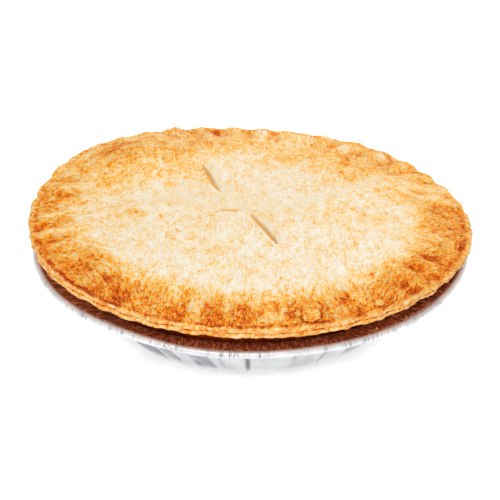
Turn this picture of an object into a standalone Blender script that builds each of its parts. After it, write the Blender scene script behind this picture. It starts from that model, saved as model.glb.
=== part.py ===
"""Whole double-crust apple pie in its foil pan.

Metres, +Z up. The origin is on the surface that the pan stands on, under the
middle of the pan. +X is the right side of the pie and -Y its front.
"""

import math

import bmesh
import bpy
import numpy as np
from mathutils import Matrix

MM = 0.001
COLLECTION_NAME = "apple_pie"
CUTTER_COLLECTION_NAME = "vent_cutters"

# Foil pan
PAN_RIM_RADIUS = 113.0 * MM
PAN_MOUTH_RADIUS = 98.0 * MM
PAN_BASE_RADIUS = 74.0 * MM
PAN_DEPTH = 32.0 * MM
PAN_CORNER_RADIUS = 3.5 * MM
CORNER_LIFT = 1.9 * MM
CORNER_IN = 1.4 * MM
CORNER_OUT = 1.2 * MM
WALL_RINGS = 3
WALL_LOW = 5.6 * MM
WALL_HIGH = 29.9 * MM
FOIL_THICKNESS = 0.5 * MM
FOIL_HALF = FOIL_THICKNESS / 2.0
BEAD_RADIUS = 1.9 * MM
BEAD_START = 165.0
BEAD_END = -145.0
BEAD_POINTS = 8
FLANGE_RISE = 1.3 * MM
PAN_STEPS = 88
PLEAT_COUNT = 22
PLEAT_DEPTH = 0.45 * MM
RIM_WAVE_HEIGHT = 0.25 * MM
RIM_WAVES = ((5, 0.8, 1.0), (9, -1.1, 0.5))
RIM_BEND_DIRECTION = 233.0
RIM_BEND_HALF_WIDTH = 17.0
RIM_BEND_HEIGHT = 2.0 * MM

# Pie
CLEARANCE = 0.7 * MM
EDGE_RADIUS = 113.7 * MM
EDGE_TOP = 48.4 * MM
EDGE_BOTTOM = 42.0 * MM
EDGE_SEAM = 45.0 * MM
SEAM_DEPTH = 0.9 * MM
LOWER_LAYER_INSET = 0.3 * MM
EDGE_ROUNDING = 1.2 * MM
UNDERSIDE_RADIUS = 100.5 * MM
UNDERSIDE_HEIGHT = 36.2 * MM
UNDERSIDE_BAND = 2.0 * MM
PIE_STEPS = 160
LID_RINGS = 16
RING_CROWDING = 1.6
TILT_START = 0.35 * EDGE_RADIUS
TILT_END = 0.98 * EDGE_RADIUS

# Lid relief
DOME_RISE = 6.8 * MM
DOME_POWER = 2.3
CRIMP_COUNT = 40
CRIMP_DEPTH = 2.5 * MM
CRIMP_MIDDLE_RADIUS = 102.0 * MM
CRIMP_HALF_LENGTH = 9.5 * MM
CRIMP_LOBE = 1.4 * MM
CRIMP_LOBE_START = 0.85 * EDGE_RADIUS
CRIMP_SHARPNESS = 1.5
CRIMP_DRIFTS = ((3, 0.4, 0.55), (7, 2.0, 0.38))
CRIMP_MEAN_STRENGTH = 0.6
CRIMP_STRENGTHS = ((5, -1.0, 0.25), (11, 2.0, 0.25))
CRIMP_LEAST_STRENGTH = 0.15
GROOVE_RADIUS = 110.0 * MM
GROOVE_WIDTH = 2.3 * MM
GROOVE_DEPTH = 1.1 * MM
FOLD_OFFSET = -7.5 * MM
FOLD_LEFT_END = -92.0 * MM
FOLD_LEFT_FULL = -45.0 * MM
FOLD_RISE = 3.2 * MM
FOLD_WIDTH = 4.5 * MM
FOLD_REACH = 46.0 * MM

# Where the fold's line runs back: x where a bend starts, x where it ends, distance
FOLD_BENDS = (
    (12.0 * MM, 92.0 * MM, 58.0 * MM),
    (-8.0 * MM, -50.0 * MM, 11.0 * MM),
)

# Edge height round the pie: cosine and sine of one and two turns
EDGE_TILT = (-3.8 * MM, -1.6 * MM, 0.2 * MM, -1.3 * MM)

# Places where the edge stands proud of that: direction and half width in degrees, height
EDGE_SWELLS = (
    (138.0, 26.0, 2.6 * MM),
    (52.0, 20.0, 1.3 * MM),
)

# Places where the edge is thinner from below: direction and half width in degrees, lift
EDGE_THINNINGS = ((338.0, 30.0, 3.0 * MM),)

# Broad swellings and hollows of the lid: x, y, radius, height
SWELLING_FADE_START = 0.76 * EDGE_RADIUS
SWELLING_FADE_END = 0.99 * EDGE_RADIUS
SWELLINGS = (
    (-60.0 * MM, 62.0 * MM, 33.0 * MM, 6.0 * MM),
    (4.0 * MM, 38.0 * MM, 32.0 * MM, -4.2 * MM),
    (-40.0 * MM, -52.0 * MM, 38.0 * MM, 1.6 * MM),
    (52.0 * MM, -38.0 * MM, 36.0 * MM, 1.8 * MM),
    (62.0 * MM, 58.0 * MM, 24.0 * MM, 1.2 * MM),
    (-4.0 * MM, 86.0 * MM, 20.0 * MM, 1.2 * MM),
)

# Vents cut in the lid: middle x, middle y, direction in degrees, length
VENTS = (
    (-20.9 * MM, 35.6 * MM, 104.7, 33.0 * MM),
    (6.7 * MM, -29.3 * MM, 296.5, 33.0 * MM),
    (-9.8 * MM, -8.6 * MM, 177.0, 11.0 * MM),
    (20.0 * MM, -3.5 * MM, 8.0, 9.0 * MM),
)
VENT_WIDTH = 1.8 * MM
VENT_DEPTH = 5.0 * MM
VENT_SIDES = 12
VENT_TIP = 0.05


def clear_scene():
    """Remove every object, so that the file holds the pie alone."""
    for item in list(bpy.data.objects):
        bpy.data.objects.remove(item, do_unlink=True)


def new_collection(name):
    """Add a collection to the scene."""
    collection = bpy.data.collections.new(name)
    bpy.context.scene.collection.children.link(collection)
    return collection


def new_material(name, color, roughness, metallic):
    """Make a Principled material of one colour."""
    material = bpy.data.materials.new(name)
    material.use_nodes = True
    shader = material.node_tree.nodes["Principled BSDF"]
    shader.inputs["Base Color"].default_value = color
    shader.inputs["Roughness"].default_value = roughness
    shader.inputs["Metallic"].default_value = metallic
    return material


def smooth_step(low, high, value):
    """Rise from 0 at low to 1 at high, level at both ends."""
    share = np.clip((value - low) / (high - low), 0.0, 1.0)
    return share * share * (3.0 - 2.0 * share)


def angular_bump(angle, direction, half_width):
    """Rise to 1 at a direction round Z, given with its half width in degrees."""
    away = np.angle(np.exp(1j * (angle - math.radians(direction))))
    return np.exp(-(away / math.radians(half_width)) ** 2)


def turned_solid(name, profile, steps, collection):
    """Turn a profile of (radius, height) points about Z into a closed solid."""
    mesh = bpy.data.meshes.new(name + "_profile")
    points = [(radius, 0.0, height) for radius, height in profile]
    edges = [(index, index + 1) for index in range(len(points) - 1)]
    mesh.from_pydata(points, edges, [])
    guide = bpy.data.objects.new(name + "_profile", mesh)
    bpy.context.scene.collection.objects.link(guide)

    screw = guide.modifiers.new("Turn", "SCREW")
    screw.axis = "Z"
    screw.angle = math.tau
    screw.steps = steps
    screw.render_steps = steps
    screw.use_merge_vertices = True
    screw.merge_threshold = 0.00001

    evaluated = guide.evaluated_get(bpy.context.evaluated_depsgraph_get())
    turned = bpy.data.meshes.new_from_object(evaluated)
    turned.name = name
    solid = bpy.data.objects.new(name, turned)
    collection.objects.link(solid)
    bpy.data.objects.remove(guide, do_unlink=True)
    return solid


def reshape(solid, rule):
    """Move a solid's vertices by a rule on their coordinates."""
    count = len(solid.data.vertices)
    flat = np.empty(count * 3, dtype=np.float32)
    solid.data.vertices.foreach_get("co", flat)
    moved = rule(flat.reshape(count, 3).astype(float))
    solid.data.vertices.foreach_set("co", moved.astype(np.float32).ravel())
    solid.data.update()


def arc_points(center, radius, start, end, count):
    """Points on an arc in the profile plane, angles in degrees, both ends in."""
    angles = np.radians(np.linspace(start, end, count))
    return [(center[0] + radius * math.cos(a), center[1] + radius * math.sin(a)) for a in angles]


def wall_slope():
    """Radius that the pan's wall gains for each metre of height."""
    return (PAN_MOUTH_RADIUS - PAN_BASE_RADIUS) / PAN_DEPTH


def pan_profile():
    """Section of the foil pan, from the middle inside, over the bead, to the middle below."""
    slope = wall_slope()
    middle = PAN_BASE_RADIUS / 2.0
    bead_center = (PAN_RIM_RADIUS - BEAD_RADIUS, PAN_DEPTH + FLANGE_RISE)
    wall_heights = np.linspace(WALL_LOW, WALL_HIGH, WALL_RINGS)

    inside = [(0.0, FOIL_THICKNESS), (middle, FOIL_THICKNESS)]
    inside.append((PAN_BASE_RADIUS - CORNER_IN, FOIL_THICKNESS))
    inside.append((PAN_BASE_RADIUS + CORNER_OUT, FOIL_THICKNESS + CORNER_LIFT))
    inside += [(PAN_BASE_RADIUS + slope * z, z + FOIL_HALF) for z in wall_heights]
    inside.append((PAN_MOUTH_RADIUS + FOIL_THICKNESS, PAN_DEPTH + FOIL_THICKNESS))

    bead = arc_points(bead_center, BEAD_RADIUS, BEAD_START, BEAD_END, BEAD_POINTS)

    outside = [(PAN_MOUTH_RADIUS + 2.0 * FOIL_THICKNESS, PAN_DEPTH)]
    outside += [(PAN_BASE_RADIUS + slope * z + FOIL_THICKNESS, z) for z in wall_heights[::-1]]
    outside.append((PAN_BASE_RADIUS + CORNER_OUT + FOIL_THICKNESS, CORNER_LIFT))
    outside.append((PAN_BASE_RADIUS - CORNER_IN + FOIL_HALF, 0.0))
    outside.append((middle, 0.0))
    outside.append((0.0, 0.0))
    return inside + bead + outside


def pan_relief(points):
    """Press shallow pleats in the pan's wall and let its rim run a little uneven."""
    x, y, z = points.T
    radius = np.hypot(x, y)
    angle = np.arctan2(y, x)
    on_wall = smooth_step(PAN_BASE_RADIUS, PAN_MOUTH_RADIUS, radius)
    on_wall = on_wall * (1.0 - smooth_step(PAN_MOUTH_RADIUS, PAN_RIM_RADIUS, radius))
    on_rim = smooth_step(PAN_MOUTH_RADIUS, PAN_RIM_RADIUS, radius)
    pleat = np.cos(angle * PLEAT_COUNT) * PLEAT_DEPTH * on_wall
    grown = (radius + pleat) / np.maximum(radius, MM)
    lift = RIM_BEND_HEIGHT * angular_bump(angle, RIM_BEND_DIRECTION, RIM_BEND_HALF_WIDTH)
    for count, phase, share in RIM_WAVES:
        lift = lift + RIM_WAVE_HEIGHT * share * np.cos(count * angle + phase)
    return np.stack([x * grown, y * grown, z + lift * on_rim], axis=1)


def build_pan(collection):
    """Make the foil pan: base, pleated wall, flat flange and rolled bead."""
    pan = turned_solid("foil_pan", pan_profile(), PAN_STEPS, collection)
    reshape(pan, pan_relief)
    pan.data.materials.clear()
    pan.data.materials.append(new_material("foil", (0.83, 0.83, 0.84, 1.0), 0.28, 1.0))
    pan.data.shade_smooth()
    pan.data.set_sharp_from_angle(angle=math.radians(35.0))
    return pan


def dome_height(radius):
    """Height of the plain lid at a radius: a low dome standing on the edge."""
    share = np.clip(radius / EDGE_RADIUS, 0.0, 1.0)
    return EDGE_TOP + DOME_RISE * (1.0 - share ** DOME_POWER)


def pie_profile():
    """Section of the plain pie, from the lid's middle, over the edge, to the middle below."""
    shares = 1.0 - (1.0 - np.arange(LID_RINGS) / LID_RINGS) ** RING_CROWDING
    lid = [(EDGE_RADIUS * s, float(dome_height(EDGE_RADIUS * s))) for s in shares]

    lower_radius = EDGE_RADIUS - LOWER_LAYER_INSET
    edge = [
        (EDGE_RADIUS, EDGE_TOP - EDGE_ROUNDING),
        (EDGE_RADIUS, EDGE_SEAM + EDGE_ROUNDING * 0.5),
        (EDGE_RADIUS - SEAM_DEPTH, EDGE_SEAM),
        (lower_radius, EDGE_SEAM - EDGE_ROUNDING * 0.5),
        (lower_radius, EDGE_BOTTOM + EDGE_ROUNDING * 0.5),
        (lower_radius - EDGE_ROUNDING, EDGE_BOTTOM),
    ]
    mouth = PAN_MOUTH_RADIUS - CLEARANCE
    floor = FOIL_THICKNESS + CLEARANCE
    underside = [
        (UNDERSIDE_RADIUS, UNDERSIDE_HEIGHT),
        (mouth, PAN_DEPTH + CLEARANCE * 2.0),
    ]
    low = PAN_CORNER_RADIUS * 2.0
    side = [
        (PAN_BASE_RADIUS + wall_slope() * PAN_DEPTH * 0.5 - CLEARANCE, PAN_DEPTH * 0.5 + CLEARANCE),
        (PAN_BASE_RADIUS + wall_slope() * low - CLEARANCE * 2.0, low + CLEARANCE),
        (PAN_BASE_RADIUS - PAN_CORNER_RADIUS, floor),
        (0.0, floor),
    ]
    return lid + edge + underside + side


def edge_lift(angle):
    """Height that the edge stands above or below its mean, round the pie."""
    once_cos, once_sin, twice_cos, twice_sin = EDGE_TILT
    lift = once_cos * np.cos(angle) + once_sin * np.sin(angle)
    lift = lift + twice_cos * np.cos(2.0 * angle) + twice_sin * np.sin(2.0 * angle)
    for direction, half_width, height in EDGE_SWELLS:
        lift = lift + height * angular_bump(angle, direction, half_width)
    return lift


def edge_thinning(angle, z):
    """Height that the edge's underside is lifted, shared out over the edge's thickness."""
    below = np.clip((EDGE_TOP - z) / (EDGE_TOP - EDGE_BOTTOM), 0.0, 1.0)
    lift = np.zeros_like(angle)
    for direction, half_width, height in EDGE_THINNINGS:
        lift = lift + height * angular_bump(angle, direction, half_width)
    return lift * below * smooth_step(UNDERSIDE_HEIGHT, EDGE_BOTTOM, z)


def crimp_wave(angle):
    """Thumb crimps round the edge, 1 in a dent and 0 on a lobe, unevenly spaced."""
    drift = sum(share * np.sin(count * angle + phase) for count, phase, share in CRIMP_DRIFTS)
    wave = 0.5 + 0.5 * np.cos(CRIMP_COUNT * angle + drift)
    swing = sum(share * np.sin(count * angle + phase) for count, phase, share in CRIMP_STRENGTHS)
    strength = np.clip(CRIMP_MEAN_STRENGTH + swing, CRIMP_LEAST_STRENGTH, 1.0)
    return strength * wave ** CRIMP_SHARPNESS


def fold_relief(x, y):
    """Raise the lid in front of the soft fold that runs across it."""
    line = np.full_like(x, FOLD_OFFSET)
    for start, end, distance in FOLD_BENDS:
        line += distance * smooth_step(start, end, x)
    behind = y - line
    front_side = 0.5 - 0.5 * np.tanh(behind / FOLD_WIDTH)
    fade = np.exp(-(np.minimum(behind, 0.0) / FOLD_REACH) ** 2)
    return FOLD_RISE * front_side * fade * smooth_step(FOLD_LEFT_END, FOLD_LEFT_FULL, x)


def lid_relief(x, y, radius, angle):
    """Height that swellings, the fold, the groove and the crimps add to the lid."""
    height = np.zeros_like(x)
    for center_x, center_y, reach, rise in SWELLINGS:
        distance = np.hypot(x - center_x, y - center_y)
        height += rise * np.exp(-(distance / reach) ** 2)
    height += fold_relief(x, y)
    height *= 1.0 - smooth_step(SWELLING_FADE_START, SWELLING_FADE_END, radius)
    height -= GROOVE_DEPTH * np.exp(-((radius - GROOVE_RADIUS) / GROOVE_WIDTH) ** 2)
    near_crimp = np.exp(-((radius - CRIMP_MIDDLE_RADIUS) / CRIMP_HALF_LENGTH) ** 2)
    return height - CRIMP_DEPTH * crimp_wave(angle) * near_crimp


def pie_relief(points):
    """Give the plain turned pie its tilted, crimped edge and its uneven lid."""
    x, y, z = points.T
    radius = np.hypot(x, y)
    angle = np.arctan2(y, x)

    above_pan = smooth_step(UNDERSIDE_HEIGHT - UNDERSIDE_BAND, EDGE_BOTTOM, z)
    toward_edge = smooth_step(TILT_START, TILT_END, radius)
    at_edge = smooth_step(CRIMP_LOBE_START, EDGE_RADIUS, radius)
    lobe = CRIMP_LOBE * (0.5 - crimp_wave(angle)) * at_edge
    grown = 1.0 + lobe * above_pan / np.maximum(radius, MM)

    on_lid = smooth_step(EDGE_SEAM, EDGE_TOP - EDGE_ROUNDING, z)
    height = z + edge_lift(angle) * toward_edge * above_pan + edge_thinning(angle, z)
    height += lid_relief(x, y, radius, angle) * on_lid
    return np.stack([x * grown, y * grown, height], axis=1)


def vent_cutter(index, center_x, center_y, direction, length, collection):
    """Make one knife-shaped cutter that stands in the lid, point down."""
    radius = math.hypot(center_x, center_y)
    angle = math.atan2(center_y, center_x)
    place = [np.array([value]) for value in (center_x, center_y, radius, angle)]
    surface = float(dome_height(radius) + lid_relief(*place)[0])
    height = VENT_DEPTH * 2.0

    shape = bmesh.new()
    bmesh.ops.create_cone(
        shape, cap_ends=True, segments=VENT_SIDES, radius1=VENT_TIP, radius2=1.0, depth=height
    )
    widening = height / VENT_DEPTH
    across = (length / 2.0 * widening, VENT_WIDTH / 2.0 * widening, 1.0)
    bmesh.ops.scale(shape, vec=across, verts=shape.verts)
    turn = Matrix.Rotation(math.radians(direction), 4, "Z")
    move = Matrix.Translation((center_x, center_y, surface + height / 2.0 - VENT_DEPTH))
    bmesh.ops.transform(shape, matrix=move @ turn, verts=shape.verts)
    mesh = bpy.data.meshes.new("vent_cutter_%d" % index)
    shape.to_mesh(mesh)
    shape.free()

    cutter = bpy.data.objects.new(mesh.name, mesh)
    cutter.hide_render = True
    cutter.display_type = "WIRE"
    collection.objects.link(cutter)
    return cutter


def cut_vents(pie, collection):
    """Cut the steam vents into the lid."""
    for index, vent in enumerate(VENTS):
        cutter = vent_cutter(index, *vent, collection)
        cut = pie.modifiers.new("Vent %d" % index, "BOOLEAN")
        cut.operation = "DIFFERENCE"
        cut.solver = "EXACT"
        cut.object = cutter


def build_pie(collection, cutters):
    """Make the pie: crust and filling in one solid, with its lid, edge and vents."""
    pie = turned_solid("pie", pie_profile(), PIE_STEPS, collection)
    reshape(pie, pie_relief)
    pie.data.materials.clear()
    pie.data.materials.append(new_material("crust", (0.86, 0.66, 0.36, 1.0), 0.6, 0.0))
    pie.data.shade_smooth()
    cut_vents(pie, cutters)
    return pie


def main():
    """Build the pan, then the pie that stands in it."""
    clear_scene()
    collection = new_collection(COLLECTION_NAME)
    cutters = new_collection(CUTTER_COLLECTION_NAME)
    build_pan(collection)
    build_pie(collection, cutters)


main()
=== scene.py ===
"""Whole double-crust apple pie in its foil pan, dressed as fine surfaces.

Metres, +Z up. The origin is on the surface that the pan stands on, under the
middle of the pan. +X is the right side of the pie and -Y its front.

The crust, the pan, the juice in the vents, the flakes and the crumbs are
surfaces worked out with numpy: functions of two parameters on a grid, or a
profile carried round Z.
"""

from __future__ import annotations

import logging
import math
from dataclasses import dataclass
from enum import Enum
from typing import Mapping, NamedTuple, Sequence

import bpy
import numpy as np
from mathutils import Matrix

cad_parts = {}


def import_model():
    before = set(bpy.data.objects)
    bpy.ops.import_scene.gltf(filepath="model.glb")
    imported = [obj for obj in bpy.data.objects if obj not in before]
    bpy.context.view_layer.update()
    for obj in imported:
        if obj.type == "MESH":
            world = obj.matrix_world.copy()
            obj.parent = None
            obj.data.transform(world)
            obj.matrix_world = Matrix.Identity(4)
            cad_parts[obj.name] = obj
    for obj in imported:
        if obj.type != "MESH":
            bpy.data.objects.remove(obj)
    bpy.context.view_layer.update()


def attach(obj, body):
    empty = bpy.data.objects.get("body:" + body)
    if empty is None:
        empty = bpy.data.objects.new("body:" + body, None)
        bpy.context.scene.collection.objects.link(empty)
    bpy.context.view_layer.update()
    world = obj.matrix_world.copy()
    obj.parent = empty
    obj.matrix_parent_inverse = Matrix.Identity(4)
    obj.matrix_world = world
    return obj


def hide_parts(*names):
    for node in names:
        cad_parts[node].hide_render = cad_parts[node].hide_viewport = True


Array = np.ndarray
Color = tuple[float, float, float]

LOG = logging.getLogger("apple_pie")
MM = 0.001
FULL_TURN = 2.0 * math.pi
DOUGH_SEED = 11

# What the coordinates of a pattern are multiplied by: one that is the same at
# every height, and one that is drawn out in thin lines along the cut edge.
LEVEL = (1.0, 1.0, 0.0)
ALONG_EDGE = (0.3, 0.3, 2.4)


class Part(Enum):
    """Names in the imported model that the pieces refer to."""

    BODY = "root"
    PIE_NODE = "pie"
    PAN_NODE = "foil_pan"
    CRUST_SLOT = "crust"
    FOIL_SLOT = "foil"


# ---------------------------------------------------------------- numbers


def smooth_step(low: float, high: float, value: Array) -> Array:
    """Rise from 0 at low to 1 at high as 3t^2 - 2t^3, level at both ends."""
    share = np.clip((value - low) / (high - low), 0.0, 1.0)
    return share * share * (3.0 - 2.0 * share)


def bell(distance: Array, reach: float) -> Array:
    """Bell curve exp(-(distance / reach)^2)."""
    return np.exp(-((distance / reach) ** 2))


def between(ends: tuple[float, float], share: Array | float) -> Array | float:
    """Value that goes evenly from the first end, at 0, to the second, at 1."""
    return ends[0] + (ends[1] - ends[0]) * share


def circle_of(angle: Array) -> Array:
    """Points (cos, sin, 0) of the unit circle, one to a row."""
    return np.column_stack([np.cos(angle), np.sin(angle), np.zeros_like(angle)])


class Span(NamedTuple):
    """Ends of a smooth rise from 0 to 1, which falls instead where the first is the larger."""

    start: float
    end: float

    def at(self, value: Array) -> Array:
        """Smooth step of the value between the ends."""
        return smooth_step(self.start, self.end, value)


class Wave(NamedTuple):
    """One harmonic round the pie: size times the cosine of count turns plus a phase."""

    count: int
    phase: float
    size: float

    def at(self, angle: Array) -> Array:
        """Value at each direction."""
        return self.size * np.cos(self.count * angle + self.phase)


class Turn(NamedTuple):
    """A rise that depends on the direction alone, given with its half width in degrees."""

    direction: float
    half_width: float
    rise: float

    def at(self, angle: Array) -> Array:
        """Rise times a bell of the angle from the direction."""
        away = np.angle(np.exp(1j * (angle - math.radians(self.direction))))
        return self.rise * bell(away, math.radians(self.half_width))


class Swell(NamedTuple):
    """A round rise or hollow, or a toasted or pale patch: x, y and reach in millimetres."""

    x: float
    y: float
    reach: float
    rise: float

    def at(self, x: Array, y: Array) -> Array:
        """Rise times a bell of the distance from the middle."""
        away = np.hypot(x - self.x * MM, y - self.y * MM)
        return self.rise * bell(away, self.reach * MM)


def summed(parts: Sequence[Wave | Turn | Swell | Crease | Facet], *where: Array) -> Array:
    """Sum of what all the parts give at the same places."""
    return sum(part.at(*where) for part in parts)


class Grain(NamedTuple):
    """A random field that a surface or its browning is made of.

    Attributes:
        size: Size of its largest spots.
        height: What it is multiplied by.
        shift: Added to the coordinates, so that two fields differ.
        layers: Number of fields added up, each half the size of the last.
        keep: Share of the height that each next field keeps.
        stretch: What the coordinates are multiplied by before the shift.
    """

    size: float
    height: float
    shift: float = 0.0
    layers: int = 1
    keep: float = 0.5
    stretch: tuple[float, float, float] = (1.0, 1.0, 1.0)


class Blisters(NamedTuple):
    """Round blisters in a square grid: cell size, height, shift, and share of the cells."""

    size: float
    height: float
    shift: float
    share: float


class Noise:
    """Repeatable random fields, worked out for whole arrays of points."""

    keys: int = 256
    gain: float = 1.6
    layer_shift: float = 17.3 * MM
    blister_middles: tuple[float, float] = (0.2, 0.8)
    blister_radii: tuple[float, float] = (0.30, 0.72)

    def __init__(self, seed: int) -> None:
        """Draw the random directions and their order."""
        draw = np.random.default_rng(seed)
        order = draw.permutation(self.keys)
        self.order = np.concatenate([order, order])
        slopes = draw.normal(size=(self.keys, 3))
        self.slopes = slopes / np.linalg.norm(slopes, axis=1, keepdims=True)
        self.values = draw.random((self.keys, 3))

    def key(self, cell: Array) -> Array:
        """Whole number from 0 up to the number of keys for each cell."""
        wrapped = cell % self.keys
        first = self.order[wrapped[:, 0]]
        second = self.order[first + wrapped[:, 1]]
        return self.order[second + wrapped[:, 2]]

    def smooth(self, points: Array, size: float) -> Array:
        """Gradient noise in cubes of the given size.

        Each corner of a cube has a random direction. The value is the dot
        product of that direction and the way from the corner, blended over
        the eight corners by 6t^5 - 15t^4 + 10t^3.

        Args:
            points: Points, one to a row.
            size: Side of a cube.

        Returns:
            Values from about -1 to 1.
        """
        scaled_points = points / size
        cell = np.floor(scaled_points).astype(np.int64)
        inside = scaled_points - cell
        fade = inside**3 * (inside * (inside * 6.0 - 15.0) + 10.0)
        total = np.zeros(len(points))
        for corner in np.ndindex(2, 2, 2):
            offset = np.array(corner)
            slope = self.slopes[self.key(cell + offset)]
            weight = np.prod(np.where(offset == 1, fade, 1.0 - fade), axis=1)
            total += weight * np.sum(slope * (inside - offset), axis=1)
        return total * self.gain

    def layered(self, points: Array, size: float, layers: int, keep: float = 0.5) -> Array:
        """Sum of smooth fields, each half the size and keep times the height of the last.

        Args:
            points: Points, one to a row.
            size: Cube side of the first field.
            layers: Number of fields.
            keep: Share of the height that each next field keeps.

        Returns:
            Values from about -1 to 1.
        """
        heights = keep ** np.arange(layers)
        fields = [
            height * self.smooth(points + layer * self.layer_shift, size / 2.0**layer)
            for layer, height in enumerate(heights)
        ]
        return sum(fields) / heights.sum()

    def of(self, grain: Grain, points: Array) -> Array:
        """Field of a grain at the points, one to a row, times the grain's height."""
        places = points * np.array(grain.stretch) + grain.shift
        return grain.height * self.layered(places, grain.size, grain.layers, grain.keep)

    def blistered(self, kind: Blisters, points: Array) -> Array:
        """Round blisters, at most one to a cell of a square grid.

        A cell's blister has a random middle and radius. Its height is
        (1 - (d / r)^2)^1.5 within the radius r, and the tallest one counts.

        Args:
            kind: Size, height, shift and share of the blisters.
            points: Points, one to a row; their third coordinate isn't used.

        Returns:
            Heights from 0 to the blisters' own.
        """
        flat = (points[:, :2] + kind.shift) / kind.size
        cell = np.floor(flat).astype(np.int64)
        tallest = np.zeros(len(points))
        for near in np.ndindex(3, 3):
            other = cell + np.array(near) - 1
            key = self.key(np.column_stack([other, np.zeros(len(other), np.int64)]))
            drawn = self.values[key]
            middle = other + between(self.blister_middles, drawn[:, :2])
            radius = between(self.blister_radii, drawn[:, 2])
            present = self.slopes[key, 0] * 0.5 + 0.5 < kind.share
            away = np.sum((flat - middle) ** 2, axis=1) / radius**2
            tallest = np.maximum(tallest, np.clip(1.0 - away, 0.0, 1.0) ** 1.5 * present)
        return kind.height * tallest


# ---------------------------------------------------------------- surfaces


@dataclass
class Surface:
    """Points, faces and kept fields of one piece before it becomes an object."""

    points: Array
    quads: Array
    triangles: Array
    fields: dict[str, Array]

    @classmethod
    def joined(cls, parts: Sequence[Surface]) -> Surface:
        """Put several surfaces in one, their faces renumbered.

        Args:
            parts: Surfaces that keep the same fields.

        Returns:
            The one surface.
        """
        starts = np.cumsum([0] + [len(part.points) for part in parts[:-1]])
        return cls(
            np.concatenate([part.points for part in parts]),
            np.concatenate([part.quads + start for part, start in zip(parts, starts)]),
            np.concatenate([part.triangles + start for part, start in zip(parts, starts)]),
            {
                name: np.concatenate([part.fields[name] for part in parts])
                for name in parts[0].fields
            },
        )

    def put(self, name: str) -> bpy.types.Object:
        """Make the mesh object, smooth shaded, at the origin.

        Args:
            name: Name of the piece.

        Returns:
            The new object.
        """
        mesh = bpy.data.meshes.new(name)
        corners = np.concatenate([self.quads.ravel(), self.triangles.ravel()])
        totals = np.repeat([4, 3], [len(self.quads), len(self.triangles)])
        starts = np.concatenate([[0], np.cumsum(totals)[:-1]])
        mesh.vertices.add(len(self.points))
        mesh.vertices.foreach_set("co", self.points.astype(np.float32).ravel())
        mesh.loops.add(len(corners))
        mesh.loops.foreach_set("vertex_index", corners.astype(np.int32))
        mesh.polygons.add(len(totals))
        mesh.polygons.foreach_set("loop_start", starts.astype(np.int32))
        mesh.polygons.foreach_set("loop_total", totals.astype(np.int32))
        mesh.update(calc_edges=True)
        mesh.validate()
        mesh.shade_smooth()
        for field, numbers in self.fields.items():
            kind, key = ("FLOAT_VECTOR", "vector") if numbers.ndim == 2 else ("FLOAT", "value")
            layer = mesh.attributes.new(field, kind, "POINT")
            layer.data.foreach_set(key, numbers.astype(np.float32).ravel())
        piece = bpy.data.objects.new(name, mesh)
        bpy.context.scene.collection.objects.link(piece)
        LOG.info("%s: %d points, %d faces", name, len(self.points), len(totals))
        return piece


def ring_quads(rings: Array) -> Array:
    """Quads between rings of point numbers, one ring to a row.

    Args:
        rings: Numbers, the rings running anticlockwise from above and in the
            order of a profile from the top middle, over the outer side, to
            the bottom middle.

    Returns:
        One outward quad to a row.
    """
    following = np.roll(rings, -1, axis=1)
    quads = np.stack([rings[:-1], rings[1:], following[1:], following[:-1]], axis=2)
    return quads.reshape(-1, 4)


def grid_quads(rows: int, columns: int) -> Array:
    """Upward quads of a grid whose points are numbered row by row.

    Args:
        rows: Points from front to back.
        columns: Points from left to right.

    Returns:
        One quad to a row.
    """
    numbers = np.arange(rows * columns).reshape(rows, columns)
    low, high = numbers[:-1], numbers[1:]
    quads = np.stack([low[:, :-1], low[:, 1:], high[:, 1:], high[:, :-1]], axis=2)
    return quads.reshape(-1, 4)


def fan(middle: int, ring: Array, facing_up: bool) -> Array:
    """Triangles from a middle point to a ring that runs anticlockwise from above.

    Args:
        middle: Number of the middle point.
        ring: Numbers of the ring's points.
        facing_up: True where the fan faces upwards.

    Returns:
        One triangle to a row.
    """
    following = np.roll(ring, -1)
    center = np.full(len(ring), middle)
    order = [center, ring, following] if facing_up else [center, following, ring]
    return np.stack(order, axis=1)


@dataclass
class TurnedGrid:
    """Grid of a profile carried round Z, closed at both poles.

    Attributes:
        radius: Distance from Z at each point of the grid.
        height: Height at each point.
        angle: Direction at each point, in radians.
        quads: Faces with four corners.
        triangles: Faces with three corners, at the poles.
    """

    radius: Array
    height: Array
    angle: Array
    quads: Array
    triangles: Array

    @classmethod
    def carried(cls, profile: Array, columns: int) -> TurnedGrid:
        """Carry a profile of (radius, height) rows round Z.

        Args:
            profile: Points from the top middle, over the outer side, to the
                bottom middle. The first and last have radius 0.
            columns: Number of directions.

        Returns:
            The closed grid.
        """
        rows = len(profile)
        repeats = np.full(rows, columns)
        repeats[[0, -1]] = 1
        row = np.repeat(np.arange(rows), repeats)
        turns = np.arange(columns) * FULL_TURN / columns
        angle = np.concatenate([[0.0], np.tile(turns, rows - 2), [0.0]])
        rings = 1 + np.arange((rows - 2) * columns).reshape(rows - 2, columns)
        last = (rows - 2) * columns + 1
        caps = np.concatenate([fan(0, rings[0], True), fan(last, rings[-1], False)])
        return cls(profile[row, 0], profile[row, 1], angle, ring_quads(rings), caps)

    def points(self, radius: Array, height: Array) -> Array:
        """Points of the grid for new radii and heights."""
        flat = circle_of(self.angle) * radius[:, None]
        flat[:, 2] = height
        return flat


def refined(profile: Sequence[tuple[float, float]], step: float) -> Array:
    """Even out a profile by straight runs between its points.

    Args:
        profile: Rows of (radius, height).
        step: Longest distance between two points of the result.

    Returns:
        The profile with points added, its own points kept.
    """
    rows = [np.array(profile[0], float)]
    for start, end in zip(profile[:-1], profile[1:]):
        low, high = np.array(start, float), np.array(end, float)
        count = max(1, math.ceil(np.linalg.norm(high - low) / step))
        rows.extend(low + (high - low) * part / count for part in range(1, count + 1))
    return np.array(rows)


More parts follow.
